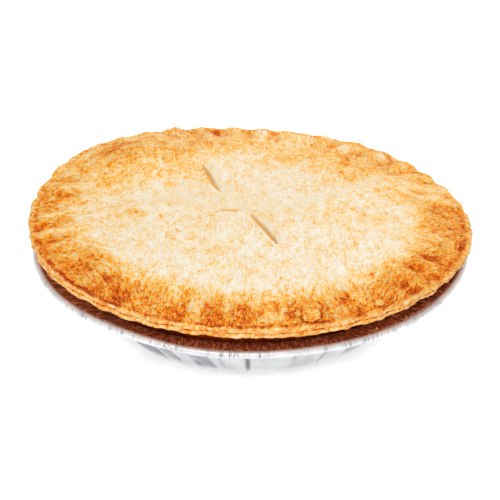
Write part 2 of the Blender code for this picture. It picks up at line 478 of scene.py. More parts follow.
class Piece:
    """What every piece has: a name, a slot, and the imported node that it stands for, if any."""

    name: str
    slot: Part = Part.CRUST_SLOT
    node: Part | None = None

    def surface(self) -> Surface:
        """Work out the piece's surface."""
        raise NotImplementedError

    def build(self, finish: bpy.types.Material) -> None:
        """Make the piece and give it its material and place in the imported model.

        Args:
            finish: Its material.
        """
        piece = self.surface().put(self.name)
        piece.data.materials.append(finish)
        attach(piece, Part.BODY.value)
        if self.node is not None:
            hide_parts(self.node.value)


# ---------------------------------------------------------------- finishes


class Signal:
    """A number socket that Python arithmetic turns into Math nodes."""

    def __init__(self, sheet: NodeSheet, socket: bpy.types.NodeSocket) -> None:
        """Keep the socket and the sheet that it belongs to."""
        self.sheet = sheet
        self.socket = socket

    def math(self, operation: str, *others: Signal | float) -> Signal:
        """Add one Math node that has this signal as its first input."""
        inputs = dict(enumerate((self, *others)))
        return self.sheet.add("ShaderNodeMath", {"operation": operation}, inputs)

    def __add__(self, other: Signal | float) -> Signal:
        """This plus the other."""
        return self.math("ADD", other)

    def __sub__(self, other: Signal | float) -> Signal:
        """This less the other."""
        return self.math("SUBTRACT", other)

    def __mul__(self, other: Signal | float) -> Signal:
        """This times the other."""
        return self.math("MULTIPLY", other)

    def __rsub__(self, other: float) -> Signal:
        """The other less this."""
        return self.math("MULTIPLY", -1.0).math("ADD", other)

    __radd__ = __add__
    __rmul__ = __mul__

    def rise(self, low: float, high: float) -> Signal:
        """Go smoothly from 0 at low to 1 at high."""
        settings = {"interpolation_type": "SMOOTHSTEP"}
        return self.sheet.add("ShaderNodeMapRange", settings, {0: self, 1: low, 2: high})

    def ridge(self, half_width: float) -> Signal:
        """Thin line where a 0 to 1 field crosses its middle: 1 on it, 0 beside it."""
        return 1.0 - (self - 0.5).math("ABSOLUTE").rise(0.0, half_width)

    def clamped(self) -> Signal:
        """Keep the signal from 0 to 1."""
        return self.math("MAXIMUM", 0.0).math("MINIMUM", 1.0)


class NodeSheet:
    """Node tree of a material or a world, with one method that adds any node."""

    def __init__(self, owner: bpy.types.ID) -> None:
        """Turn on the owner's nodes and keep its tree."""
        owner.use_nodes = True
        self.owner = owner
        self.tree = owner.node_tree

    def add(
        self,
        kind: str,
        settings: Mapping[str, object],
        inputs: Mapping[str | int, object],
        output: str | int = 0,
    ) -> Signal:
        """Add a node, set it up and give its inputs.

        Args:
            kind: Type of the node.
            settings: Its settings, set before the inputs. "stops" fills a
                ramp with rows of (place, colour).
            inputs: Values, sockets or signals by input name or number.
            output: Name or number of the output wanted.

        Returns:
            The output as a signal.
        """
        node = self.tree.nodes.new(kind)
        for key, value in settings.items():
            if key == "stops":
                self.fill_ramp(node, value)
            else:
                setattr(node, key, value)
        for key, value in inputs.items():
            self.give(node.inputs[key], value)
        return Signal(self, node.outputs[output])

    def fill_ramp(self, node: bpy.types.Node, stops: Sequence[tuple[float, Color]]) -> None:
        """Put colour stops in a ramp, in place of its own two."""
        ramp = node.color_ramp
        ramp.elements.remove(ramp.elements[-1])
        ramp.elements[0].position = stops[0][0]
        ramp.elements[0].color = (*stops[0][1], 1.0)
        for place, color in stops[1:]:
            ramp.elements.new(place).color = (*color, 1.0)

    def give(self, socket: bpy.types.NodeSocket, value: object) -> None:
        """Link a signal to an input, or set the input to a value."""
        if isinstance(value, Signal):
            self.tree.links.new(value.socket, socket)
        elif isinstance(value, tuple) and socket.type == "RGBA":
            socket.default_value = (*value, 1.0)
        else:
            socket.default_value = value

    def place(self) -> Signal:
        """Object coordinates."""
        return self.add("ShaderNodeTexCoord", {}, {}, "Object")

    def field(self, name: str, output: str = "Fac") -> Signal:
        """Numbers, or with output "Vector" coordinates, that the mesh keeps at its points."""
        return self.add("ShaderNodeAttribute", {"attribute_name": name}, {}, output)

    def noise(
        self, where: Signal, size: float, detail: float = 3.0, output: str = "Fac"
    ) -> Signal:
        """Random field from 0 to 1 whose spots are about the given size.

        Args:
            where: Coordinates.
            size: Size of a spot, in metres.
            detail: Number of finer fields added.
            output: "Fac" for a number or "Color" for three.

        Returns:
            The field.
        """
        inputs = {"Vector": where, "Scale": 1.0 / size, "Detail": detail}
        return self.add("ShaderNodeTexNoise", {"normalize": True}, inputs, output)

    def plates(self, where: Signal, size: float) -> Signal:
        """Random number from 0 to 1 for each cell of about the given size."""
        inputs = {"Vector": where, "Scale": 1.0 / size}
        cell = self.add("ShaderNodeTexVoronoi", {"feature": "F1"}, inputs, "Color")
        return self.add("ShaderNodeSeparateColor", {}, {0: cell})

    def bent(self, where: Signal, size: float, amount: float) -> Signal:
        """Coordinates moved by a coloured noise, for bent and broken patterns."""
        inputs = {0: self.noise(where, size, 2.0, "Color"), 1: (amount,) * 3, 2: where}
        return self.add("ShaderNodeVectorMath", {"operation": "MULTIPLY_ADD"}, inputs)

    def ramp(self, signal: Signal, stops: Sequence[tuple[float, Color]]) -> Signal:
        """Colours along a signal, blended evenly between stops."""
        return self.add("ShaderNodeValToRGB", {"stops": stops}, {"Fac": signal}, "Color")

    def mixed(self, share: Signal, first: object, second: object) -> Signal:
        """Colour that goes from the first to the second with the share."""
        inputs = {0: share, 6: first, 7: second}
        return self.add("ShaderNodeMix", {"data_type": "RGBA"}, inputs, 2)

    def bumped(self, height: Signal, depth: float, strength: float) -> Signal:
        """Normal of a fine relief.

        Args:
            height: Relief from 0 to 1.
            depth: Its full depth, in metres.
            strength: Share of it that shows.

        Returns:
            The normal, for a shader's Normal input.
        """
        inputs = {"Height": height, "Distance": depth, "Strength": strength}
        return self.add("ShaderNodeBump", {}, inputs, "Normal")

    def finish(self, node: str, inputs: Mapping[str, object]) -> bpy.types.ID:
        """Give a node that is there already its inputs, and return the owner."""
        for key, value in inputs.items():
            self.give(self.tree.nodes[node].inputs[key], value)
        return self.owner


def tone(red: int, green: int, blue: int) -> Color:
    """Linear colour of three display values from 0 to 255."""
    shares = np.array([red, green, blue]) / 255.0
    linear = np.where(shares <= 0.04045, shares / 12.92, ((shares + 0.055) / 1.055) ** 2.4)
    return tuple(float(value) for value in linear)


@dataclass(frozen=True)
class CrustFinish:
    """Baked shortcrust: cream where it is pale, golden to red-brown where it is toasted."""

    tones: tuple[tuple[float, Color], ...] = (
        (0.00, tone(241, 234, 219)),
        (0.15, tone(241, 225, 196)),
        (0.30, tone(244, 212, 158)),
        (0.42, tone(248, 199, 112)),
        (0.54, tone(249, 180, 60)),
        (0.66, tone(246, 152, 24)),
        (0.78, tone(238, 120, 10)),
        (0.90, tone(216, 88, 6)),
        (1.00, tone(176, 60, 4)),
    )
    # Greyer cream, painted as shade along the fold, in the lid's hollows and beside the vents.
    dull: Color = tone(236, 221, 187)
    crumb: Color = tone(242, 202, 128)
    crumb_brown: Color = tone(232, 136, 42)
    drift_size: float = 15.0 * MM
    patch_size: float = 5.0 * MM
    freckle_size: float = 1.6 * MM
    grit_size: float = 0.7 * MM
    stroke_size: float = 0.8 * MM
    crease_size: float = 2.6 * MM
    crease_patch: float = 4.0 * MM
    fibre_size: float = 1.9 * MM
    bend: float = 4.0 * MM
    relief_depth: float = 1.3 * MM

    def material(self) -> bpy.types.Material:
        """Mottle the toasting with patches and freckles, tan creases of painted shade and pale
        strokes of painted highlight.

        The toasting kept at the points is shifted by random fields, and a
        ramp turns it into a colour. Where the crust is pale, thin tan lines
        run where a field crosses its middle: painted shade in shallow grooves
        of the bump. Where it is brown, pale strokes follow the kept grain:
        painted highlights on low ridges of the bump.

        Returns:
            The material.
        """
        sheet = NodeSheet(bpy.data.materials.new("baked_crust"))
        where = sheet.field("grain", "Vector")
        toast = sheet.field("toast")
        dull = sheet.field("dull")
        broken = sheet.field("broken")
        fibre = sheet.noise(sheet.field("swirl", "Vector"), self.fibre_size, 1.0) - 0.5
        fibre = fibre * sheet.field("swirled")
        bent = sheet.bent(where, self.patch_size, self.bend)
        broad = sheet.noise(where, self.drift_size) - 0.5
        patches = sheet.noise(bent, self.patch_size, 4.0) - 0.5
        freckles = sheet.noise(bent, self.freckle_size, 3.0) - 0.5
        plates = sheet.plates(bent, self.patch_size) - 0.5
        # Tan creases where the crust is pale: painted shade in shallow grooves of the bump.
        creases = sheet.noise(bent, self.crease_size, 1.5).ridge(0.05)
        creases = creases * sheet.noise(where, self.crease_patch, 2.0).rise(0.38, 0.54)
        # Pale strokes where the crust is brown: painted highlights, also raised as ridges in the
        # bump.
        painted_highlight_ridges = sheet.noise(where, self.stroke_size, 2.0).rise(0.55, 0.66)
        grit = sheet.noise(where, self.grit_size, 1.0) - 0.5
        brown = toast.rise(0.30, 0.62)
        soft = 1.0 - dull * 0.6
        level = toast + broad * 0.30 + patches * 0.60 * soft + plates * 0.12 * soft
        level = level + freckles * (0.80 + 0.40 * brown) * soft + fibre * 1.3
        level = level + creases * (0.27 - 0.22 * brown) * soft
        level = level + grit * (0.85 - 0.10 * brown) * soft
        level = (level - painted_highlight_ridges * brown * 0.32).math("MAXIMUM", brown * 0.30).clamped()
        baked = sheet.ramp(level, self.tones)
        # Painted shade: the pale crust goes greyer cream by the kept share.
        baked = sheet.mixed(dull * (1.0 - level.rise(0.3, 0.7)), baked, self.dull)
        speckle = (freckles * 4.2 + patches * 1.6 + 0.44).clamped()
        inner = sheet.mixed(speckle, self.crumb, self.crumb_brown)
        relief = patches * 0.35 + freckles * 0.45 + painted_highlight_ridges * brown * 0.3 - creases * 0.2 + fibre
        relief = relief * (0.35 + 0.40 * brown)
        return sheet.finish(
            "Principled BSDF",
            {
                "Base Color": sheet.mixed(broken, baked, inner),
                "Roughness": 0.46 + patches * 0.4,
                "Normal": sheet.bumped(relief, self.relief_depth, 1.0),
                "Specular IOR Level": 0.08,
            },
        )


@dataclass(frozen=True)
class FoilFinish:
    """Bright pressed foil, its flange painted brown as a reflection of the crust's shaded underside.
    """

    bright: Color = tone(250, 250, 250)
    # Grey foil: painted shade and darker reflections on the wall and the bead.
    dull: Color = tone(152, 153, 159)
    # Dark foil painted into the bead's ticks and the wall's creases.
    dark: Color = tone(104, 102, 112)
    # Brown of the flange: painted reflection of the crust's shaded underside, with lighter streaks
    # and dark parts.
    glaze: Color = tone(160, 84, 42)
    glaze_light: Color = tone(240, 176, 126)
    glaze_dark: Color = tone(58, 24, 12)
    # Tan border where the brown meets the bead: painted reflection of the crust's cut edge.
    fringe: Color = tone(222, 178, 140)
    crinkle_size: float = 1.5 * MM
    streak_size: float = 1.2 * MM
    fine_streak_size: float = 0.6 * MM
    # Dark ticks on the bead are painted reflections of its crinkles.
    tick_size: float = 1.0 * MM
    tick_patch: float = 6.0 * MM
    speck_size: float = 1.0 * MM
    cloud_size: float = 9.0 * MM
    border_size: float = 3.2 * MM
    relief_depth: float = 0.35 * MM

    def material(self) -> bpy.types.Material:
        """Blend foil and the painted reflection of the crust by the shares kept at the points.

        Fine painted ticks, and the streaks of the painted reflection, follow the
        kept strip coordinates, which run round the pan and are drawn out across
        its bead and flange.

        Returns:
            The material.
        """
        sheet = NodeSheet(bpy.data.materials.new("pressed_foil"))
        where = sheet.place()
        strip = sheet.field("strip", "Vector")
        glaze = sheet.field("glaze")
        crinkle = sheet.noise(where, self.crinkle_size, 4.0)
        streak = sheet.noise(strip, self.streak_size, 3.0) * 0.6
        streak = streak + sheet.noise(strip, self.fine_streak_size) * 0.4
        # Painted dark reflections in the bead's crinkles, in patches.
        painted_tick = sheet.noise(strip, self.tick_size, 3.0).rise(0.50, 0.58) * sheet.field("ticked")
        painted_tick = painted_tick * sheet.noise(strip, self.tick_patch, 2.0).rise(0.40, 0.56)
        # Small pale spots on the band's border: painted glints.
        painted_glint = sheet.noise(where, self.speck_size, 1.0).rise(0.70, 0.76)
        # Painted shade: the foil goes grey by the kept share and a random cloud.
        cloud = (sheet.noise(where, self.cloud_size) - 0.5) * 0.8 + sheet.field("dulled")
        foil = sheet.mixed(cloud.clamped(), self.bright, self.dull)
        # Painted dark ticks, and painted shade in the wall's creases.
        foil = sheet.mixed((painted_tick + sheet.field("creased")).clamped(), foil, self.dark)
        # Painted reflection of the crust's underside on the flange, ragged at its border and
        # streaked.
        edge = glaze + (crinkle - 0.5) * 0.7 + (streak - 0.5) * 0.8
        edge = edge + (sheet.noise(strip, self.border_size, 3.0) - 0.5) * 1.4
        brown = sheet.mixed(streak.rise(0.50, 0.58), self.glaze, self.glaze_light)
        # Painted shade: the band goes dark towards its ends and between its streaks.
        painted_band_darkening = sheet.field("scorched") + (0.5 - streak) * 3.2
        brown = sheet.mixed(painted_band_darkening.clamped(), brown, self.glaze_dark)
        # Tan border and pale spots: painted reflection of the crust's edge and painted glints.
        brown = sheet.mixed((edge.rise(0.54, 0.49) + painted_glint).clamped(), brown, self.fringe)
        ragged = edge.rise(0.46, 0.50)
        relief = crinkle * 0.4 + streak * 0.6
        return sheet.finish(
            "Principled BSDF",
            {
                "Base Color": sheet.mixed(ragged, foil, brown),
                # The painted-shade share also makes the wall and the bead metallic.
                "Metallic": 0.10 + ragged * 0.1 + sheet.field("dulled").clamped() * 0.9,
                "Roughness": 0.28 + crinkle * 0.16 + ragged * 0.12 + painted_tick * 0.2,
                "Normal": sheet.bumped(relief, self.relief_depth, 0.5),
            },
        )


@dataclass(frozen=True)
class JuiceFinish:
    """Thickened fruit juice, amber and shiny."""

    light: Color = tone(255, 200, 84)
    dark: Color = tone(196, 116, 42)
    cloud_size: float = 2.4 * MM
    relief_depth: float = 0.3 * MM

    def material(self) -> bpy.types.Material:
        """Amber, from light where it is thin to dark where it is baked on.

        Returns:
            The material.
        """
        sheet = NodeSheet(bpy.data.materials.new("vent_juice"))
        cloud = sheet.noise(sheet.place(), self.cloud_size)
        share = (sheet.field("toast") + (cloud - 0.5) * 0.6).clamped()
        return sheet.finish(
            "Principled BSDF",
            {
                "Base Color": sheet.mixed(share, self.light, self.dark),
                "Roughness": 0.16 + cloud * 0.14,
                "Normal": sheet.bumped(cloud, self.relief_depth, 0.4),
                "Coat Weight": 0.4,
            },
        )


@dataclass(frozen=True)
class GroundFinish:
    """Plain pale ground that glows a little, so that shadows on it stay light."""

    pale: Color = (0.90, 0.90, 0.90)
    # Grey of the painted contact shadow round the pan's foot.
    shaded: Color = (0.30, 0.30, 0.30)
    glow: float = 0.50
    foot: float = 70.0 * MM
    reach: float = 16.0 * MM

    def material(self) -> bpy.types.Material:
        """Matt near-white, with a painted contact shadow that darkens it close to the pan's foot.

        Returns:
            The material.
        """
        sheet = NodeSheet(bpy.data.materials.new("pale_ground"))
        away = sheet.add("ShaderNodeVectorMath", {"operation": "LENGTH"}, {0: sheet.place()}, "Value")
        open_floor = away.rise(self.foot, self.foot + self.reach)
        return sheet.finish(
            "Principled BSDF",
            {
                "Base Color": sheet.mixed(open_floor, self.shaded, self.pale),
                "Roughness": 0.9,
                "Specular IOR Level": 0.1,
                "Emission Color": (1.0, 1.0, 1.0),
                "Emission Strength": self.glow,
            },
        )


# ---------------------------------------------------------------- the pie


class Bend(NamedTuple):
    """A run of x over which the fold's line moves back by a distance, in millimetres."""

    start: float
    end: float
    distance: float


class FoldBand(NamedTuple):
    """A stripe behind the fold: its distance, its half width, and where it rises and falls."""

    distance: float
    half_width: float
    rise: Span
    fall: Span

    def at(self, behind: Array, x: Array) -> Array:
        """Bell of the distance behind the fold's line, faded out at both ends."""
        return bell(behind - self.distance, self.half_width) * self.rise.at(x) * self.fall.at(x)


class Swirl(NamedTuple):
    """Fibres that curve round a point: its place, their patch, and their side of the pie."""

    x: float
    y: float
    patch: Swell
    side: Span

    def shown(self, x: Array, y: Array) -> Array:
        """Share of the fibres that shows."""
        return self.patch.at(x, y) * self.side.at(x)


@dataclass(frozen=True)
class Vent:
    """A steam vent cut in the lid.

    Attributes:
        x, y: Middle of the cut.
        direction: Direction of the cut, in degrees.
        length: Length of the cut.
        bow: How far its ends stand off a straight line.
        dip: Depth of the hollow beside it, on its left for a positive number
            and on its right for a negative one.
        toasted: How brown its inner side is, 0 to 1.
        filled: How high juice stands in it, as a share of its depth.
        hollow_reach: How far the hollow spreads.
        lip_reach: How far the low lip on the other side spreads.
        lip_share: Height of the lip as a share of the dip.
        middle_blend: Half the distance over which hollow and lip blend.
        least_half: Least half width of the cut, at its ends.
    """

    x: float
    y: float
    direction: float
    length: float
    bow: float
    dip: float
    toasted: float
    filled: float
    hollow_reach: float = 4.6 * MM
    lip_reach: float = 2.4 * MM
    lip_share: float = 0.4
    middle_blend: float = 0.4 * MM
    least_half: float = 0.02 * MM

    def bowed(self, along: Array) -> Array:
        """How far the cut's line stands to the left of a straight one, bow * (2a / length)^3."""
        return self.bow * (2.0 * along / self.length) ** 3

    def closing(self, along: Array) -> Array:
        """Share of the width left at a distance along, sqrt(1 - (2a / length)^4)."""
        return np.sqrt(np.clip(1.0 - (2.0 * along / self.length) ** 4, 0.0, 1.0))

    def local(self, x: Array, y: Array) -> tuple[Array, Array]:
        """Distance along the cut from its middle, and across to the left, bow taken out."""
        turn = math.radians(self.direction)
        along = (x - self.x) * math.cos(turn) + (y - self.y) * math.sin(turn)
        across = (y - self.y) * math.cos(turn) - (x - self.x) * math.sin(turn)
        return along, across - self.bowed(along)

    def gathered(self, x: Array, y: Array, pull: float, reach: float) -> tuple[Array, Array]:
        """Draw grid points towards the cut, so that it has enough of them.

        The distance b across the cut becomes b less pull * b * exp(-(b / reach)^2),
        faded out past the ends.

        Args:
            x, y: Places on the lid.
            pull: Share of the distance taken away next to the cut.
            reach: How far from the cut the points are drawn.

        Returns:
            The new places.
        """
        along, across = self.local(x, y)
        past = np.maximum(np.abs(along) - self.length / 2.0, 0.0)
        shift = -pull * across * bell(across, reach) * bell(past, reach)
        turn = math.radians(self.direction)
        return x - math.sin(turn) * shift, y + math.cos(turn) * shift

    def opening(self, x: Array, y: Array, width: float) -> tuple[Array, Array, Array]:
        """How deep in the cut each place is, how the lid moves beside it, and its painted shade.

        The cut is a V: 1 - |b| / w, with w the half width times the closing.
        On one side the lid falls towards the cut by a bell of b, and on the
        other a low lip stands up. The painted shade in the hollow is the same bell.

        Args:
            x, y: Places on the lid.
            width: Width of the cut.

        Returns:
            Share of the depth, height to add beside the cut, and painted shade.
        """
        along, across = self.local(x, y)
        end = self.closing(along)
        half = np.maximum(width / 2.0 * end, self.least_half)
        depth = np.clip(1.0 - np.abs(across) / half, 0.0, 1.0) * end
        toward = across * math.copysign(1.0, self.dip)
        side = smooth_step(-self.middle_blend, self.middle_blend, toward) * end
        hollow = bell(np.maximum(toward, 0.0), self.hollow_reach) * side
        lip = bell(np.minimum(toward, 0.0) + half, self.lip_reach) * (end - side)
        beside = abs(self.dip) * (self.lip_share * lip - hollow)
        return depth, beside, min(abs(self.dip) / MM, 1.0) * hollow


@dataclass(frozen=True)
class PieForm:
    """Sizes of the pie, and the shape of its edge and lid."""

    edge_radius: float = 113.7 * MM
    edge_top: float = 48.4 * MM
    edge_bottom: float = 42.0 * MM
    underside_radius: float = 100.5 * MM
    underside_height: float = 36.2 * MM
    underside_band: float = 2.0 * MM
    dome_rise: float = 6.8 * MM
    dome_power: float = 2.3
    tilt: tuple[Wave, ...] = (
        Wave(1, 0.0, -3.8 * MM), Wave(1, -math.pi / 2.0, -1.6 * MM), Wave(2, 0.0, 0.2 * MM),
        Wave(2, -math.pi / 2.0, -1.3 * MM),
    )
    edge_turns: tuple[Turn, ...] = (Turn(138.0, 26.0, 2.6 * MM), Turn(52.0, 20.0, 1.3 * MM))
    edge_thinnings: tuple[Turn, ...] = (Turn(338.0, 30.0, 3.0 * MM),)
    lift_rise: Span = Span(0.35, 0.98)
    swells: tuple[Swell, ...] = (
        Swell(-60.0, 62.0, 33.0, 6.0 * MM), Swell(4.0, 38.0, 32.0, -4.2 * MM),
        Swell(-40.0, -52.0, 38.0, 1.6 * MM), Swell(52.0, -38.0, 36.0, 1.8 * MM),
        Swell(62.0, 58.0, 24.0, 1.2 * MM), Swell(-4.0, 86.0, 20.0, 1.2 * MM),
    )
    swell_fade: Span = Span(0.76, 0.99)
    crimp_count: int = 40
    crimp_depth: float = 2.5 * MM
    crimp_middle: float = 102.0 * MM
    crimp_half_length: float = 9.5 * MM
    crimp_lobe: float = 1.4 * MM
    crimp_sharpness: float = 1.5
    crimp_drifts: tuple[Wave, ...] = (
        Wave(3, 0.4 - math.pi / 2.0, 0.55), Wave(7, 2.0 - math.pi / 2.0, 0.38),
    )
    crimp_strengths: tuple[Wave, ...] = (
        Wave(5, -1.0 - math.pi / 2.0, 0.25), Wave(11, 2.0 - math.pi / 2.0, 0.25),
    )
    crimp_mean: float = 0.6
    crimp_least: float = 0.15
    lobe_rise: Span = Span(0.85, 1.0)
    groove_radius: float = 110.0 * MM
    groove_width: float = 2.3 * MM
    groove_depth: float = 1.1 * MM
    fold_offset: float = -7.5 * MM
    fold_bends: tuple[Bend, ...] = (Bend(12.0, 92.0, 58.0), Bend(-8.0, -50.0, 11.0))
    fold_rise: float = 3.2 * MM
    fold_width: float = 4.5 * MM
    fold_reach: float = 46.0 * MM
    fold_start: Span = Span(-92.0 * MM, -45.0 * MM)
    vent_width: float = 4.0 * MM
    vent_depth: float = 1.7 * MM
    vents: tuple[Vent, ...] = (
        Vent(-20.9 * MM, 35.6 * MM, 104.7, 33.0 * MM, 1.4 * MM, -1.1 * MM, 0.58, 0.40),
        Vent(6.7 * MM, -29.3 * MM, 296.5, 33.0 * MM, -1.0 * MM, 1.1 * MM, 0.62, 0.40),
        Vent(-9.8 * MM, -8.6 * MM, 177.0, 11.0 * MM, 0.3 * MM, 0.3 * MM, 0.34, 0.95),
        Vent(20.0 * MM, -3.5 * MM, 8.0, 9.0 * MM, 0.2 * MM, 0.8 * MM, 0.2, 0.0),
    )

    def edge_lift(self, angle: Array) -> Array:
        """Height that the edge stands above or below its mean, round the pie."""
        return summed(self.tilt, angle) + summed(self.edge_turns, angle)

    def thinning(self, angle: Array, height: Array) -> Array:
        """Height that the edge's underside is lifted, shared out over the edge's thickness.

        Args:
            angle: Directions.
            height: Heights before any lift.

        Returns:
            The lift, nothing at the edge's top and at the underside's foot.
        """
        below = np.clip((self.edge_top - height) / (self.edge_top - self.edge_bottom), 0.0, 1.0)
        faded = below * smooth_step(self.underside_height, self.edge_bottom, height)
        return summed(self.edge_thinnings, angle) * faded

    def crimp(self, angle: Array) -> Array:
        """Thumb crimps round the edge, 1 in a dent and 0 on a lobe.

        A cosine of crimp_count turns, shifted by two slow waves, is raised
        to a power and scaled by a strength that changes round the pie.

        Args:
            angle: Directions.

        Returns:
            Depth of the dents as a share.
        """
        wave = 0.5 + 0.5 * np.cos(self.crimp_count * angle + summed(self.crimp_drifts, angle))
        strength = self.crimp_mean + summed(self.crimp_strengths, angle)
        return np.clip(strength, self.crimp_least, 1.0) * wave**self.crimp_sharpness

    def lobe(self, angle: Array) -> Array:
        """How far the edge stands out on a lobe, and in, below 0, at a dent."""
        return self.crimp_lobe * (0.5 - self.crimp(angle))

    def behind_fold(self, x: Array, y: Array) -> Array:
        """Distance behind the fold's line, whose y is an offset plus smooth bends over x."""
        line = sum(b.distance * smooth_step(b.start * MM, b.end * MM, x) for b in self.fold_bends)
        return y - self.fold_offset - line * MM

    def fold(self, x: Array, y: Array) -> Array:
        """Height that the lid gains in front of the soft fold across it.

        The step over the fold's line is a hyperbolic tangent, which fades
        out in front by a bell and at the left by a smooth rise.

        Args:
            x, y: Places on the lid.

        Returns:
            The height.
        """
        behind = self.behind_fold(x, y)
        step = 0.5 - 0.5 * np.tanh(behind / self.fold_width)
        fade = bell(np.minimum(behind, 0.0), self.fold_reach)
        return self.fold_rise * step * fade * self.fold_start.at(x)

    def plain_lid(self, x: Array, y: Array) -> Array:
        """Height of the lid with its large forms alone.

        A low dome, plus the swellings and the fold faded out at the edge,
        less the groove inside the edge and the crimps, plus the edge's lift.

        Args:
            x, y: Places on the lid.

        Returns:
            The height.
        """
        radius, angle = np.hypot(x, y), np.arctan2(y, x)
        share = np.clip(radius / self.edge_radius, 0.0, 1.0)
        height = self.edge_top + self.dome_rise * (1.0 - share**self.dome_power)
        broad = summed(self.swells, x, y) + self.fold(x, y)
        height += broad * (1.0 - self.swell_fade.at(share))
        height -= self.groove_depth * bell(radius - self.groove_radius, self.groove_width)
        near = bell(radius - self.crimp_middle, self.crimp_half_length)
        height -= self.crimp_depth * self.crimp(angle) * near
        return height + self.edge_lift(angle) * self.lift_rise.at(share)


@dataclass(frozen=True)
class Dough:
    """Fine relief and grain of the lid's dough, laid on the pie's form."""

    form: PieForm
    noise: Noise
    small_swells: tuple[Swell, ...] = (
        Swell(-37.0, 24.0, 15.0, -1.3 * MM), Swell(-62.0, 44.0, 13.0, 0.9 * MM),
        Swell(-60.0, -8.0, 3.2, 1.1 * MM), Swell(-57.0, -9.5, 1.6, -0.9 * MM),
        Swell(92.0, 38.0, 3.6, 1.3 * MM), Swell(92.0, 38.0, 1.9, -1.5 * MM),
        Swell(113.0, 6.0, 2.2, 1.0 * MM), Swell(67.0, 17.0, 4.0, 0.6 * MM),
        Swell(30.0, 88.0, 3.0, 0.9 * MM), Swell(52.0, 80.0, 2.4, 0.9 * MM),
        Swell(-86.0, -20.0, 3.4, 0.8 * MM), Swell(-21.0, 104.0, 4.0, -1.2 * MM),
    )
    crease_depth: float = 1.1 * MM
    crease: FoldBand = FoldBand(
        1.0 * MM, 1.4 * MM, Span(-60.0 * MM, -24.0 * MM), Span(86.0 * MM, 56.0 * MM)
    )
    # Painted shade, with smoother relief, along the fold, in hollows and beside the vents.
    dull_fold: float = 0.5
    dull_band: FoldBand = FoldBand(
        3.0 * MM, 4.5 * MM, Span(-66.0 * MM, -36.0 * MM), Span(94.0 * MM, 62.0 * MM)
    )
    dull_vent: float = 0.9
    dull_patches: tuple[Swell, ...] = (
        Swell(-38.0, 18.0, 15.0, 0.35), Swell(-6.0, 12.0, 14.0, 0.20),
        Swell(-8.0, 60.0, 12.0, 0.20), Swell(66.0, 34.0, 12.0, 0.30),
    )
    drawn_from: float = 76.0 * MM
    rolled: float = 0.6
    rolled_sides: Span = Span(50.0 * MM, 95.0 * MM)
    relief_squeeze: float = 0.8
    colour_squeeze: float = 0.75
    wrinkle_squeeze: float = 0.35
    wrinkle: Grain = Grain(6.5 * MM, 1.0, 0.77, 3, 0.6)
    wrinkle_rise: Span = Span(82.0 * MM, 96.0 * MM)
    wrinkle_fall: Span = Span(107.0 * MM, 111.0 * MM)
    wrinkle_height: float = 1.7 * MM
    swirls: tuple[Swirl, Swirl] = (
        Swirl(-92.0 * MM, 96.0 * MM, Swell(-54.0, 56.0, 30.0, 0.40), Span(0.0, -12.0 * MM)),
        Swirl(-8.0 * MM, 92.0 * MM, Swell(66.0, 22.0, 30.0, 0.22), Span(0.0, 12.0 * MM)),
    )
    swirl_length: float = 9.0 * MM
    fibre: Grain = Grain(2.2 * MM, 0.8 * MM)
    flake_bends: tuple[Grain, Grain] = (
        Grain(11.0 * MM, 4.0 * MM, 0.31), Grain(11.0 * MM, 4.0 * MM, 0.57),
    )
    flake_grain: Grain = Grain(8.0 * MM, 1.0, 0.0, 3, 0.55)
    flake_levels: float = 3.0
    flake_side: Span = Span(0.55, 1.0)
    flake_height: float = 0.60 * MM
    blisters: Blisters = Blisters(4.6 * MM, 0.45 * MM, 0.0, 0.50)
    small_blisters: Blisters = Blisters(2.6 * MM, 0.34 * MM, 0.2, 0.55)
    rim: Span = Span(84.0 * MM, 104.0 * MM)
    rim_lumps: Grain = Grain(6.0 * MM, 1.0 * MM, 0.4, 3, 0.6)
    rim_lobe: float = 0.9 * MM
    rough_mean: float = 0.42
    rough_drift: Grain = Grain(26.0 * MM, 0.25, 0.9)
    rough_rim: float = 0.85
    rough_lost: float = 0.55
    vent_smoothed: Span = Span(0.0, 0.3)

    def dull(self, x: Array, y: Array) -> Array:
        """Share of painted shade, and of smoother relief, 0 to 1: along the fold, in hollows, beside
        vents.
        """
        shade = self.dull_fold * self.dull_band.at(self.form.behind_fold(x, y), x)
        shade += summed(self.dull_patches, x, y)
        for vent in self.form.vents:
            shade += self.dull_vent * vent.opening(x, y, self.form.vent_width)[2]
        return np.clip(shade, 0.0, 1.0)

    def drawn(self, x: Array, y: Array, squeeze: float) -> Array:
        """Places whose pattern is drawn out as the dough was worked, one to a row.

        Between the sides only a share of y counts, because the dough was
        rolled from front to back. Of the distance past drawn_from only a
        share counts, so a pattern is longer along the radius there.

        Args:
            x, y: Places on the lid.
            squeeze: Share of that distance kept.

        Returns:
            The coordinates.
        """
        radius = np.maximum(np.hypot(x, y), MM)
        past = np.maximum(radius - self.drawn_from, 0.0)
        kept = 1.0 - (1.0 - squeeze) * past / radius
        rolled = between((self.rolled, 1.0), self.rolled_sides.at(np.abs(x)))
        return np.column_stack([x * kept, y * kept * rolled, np.zeros_like(x)])

    def wrinkles(self, x: Array, y: Array) -> Array:
        """Uneven radial wrinkles between and beside the crimps, from about -1 to 1."""
        radius = np.hypot(x, y)
        near = self.wrinkle_rise.at(radius) * (1.0 - self.wrinkle_fall.at(radius))
        return self.noise.of(self.wrinkle, self.drawn(x, y, self.wrinkle_squeeze)) * near

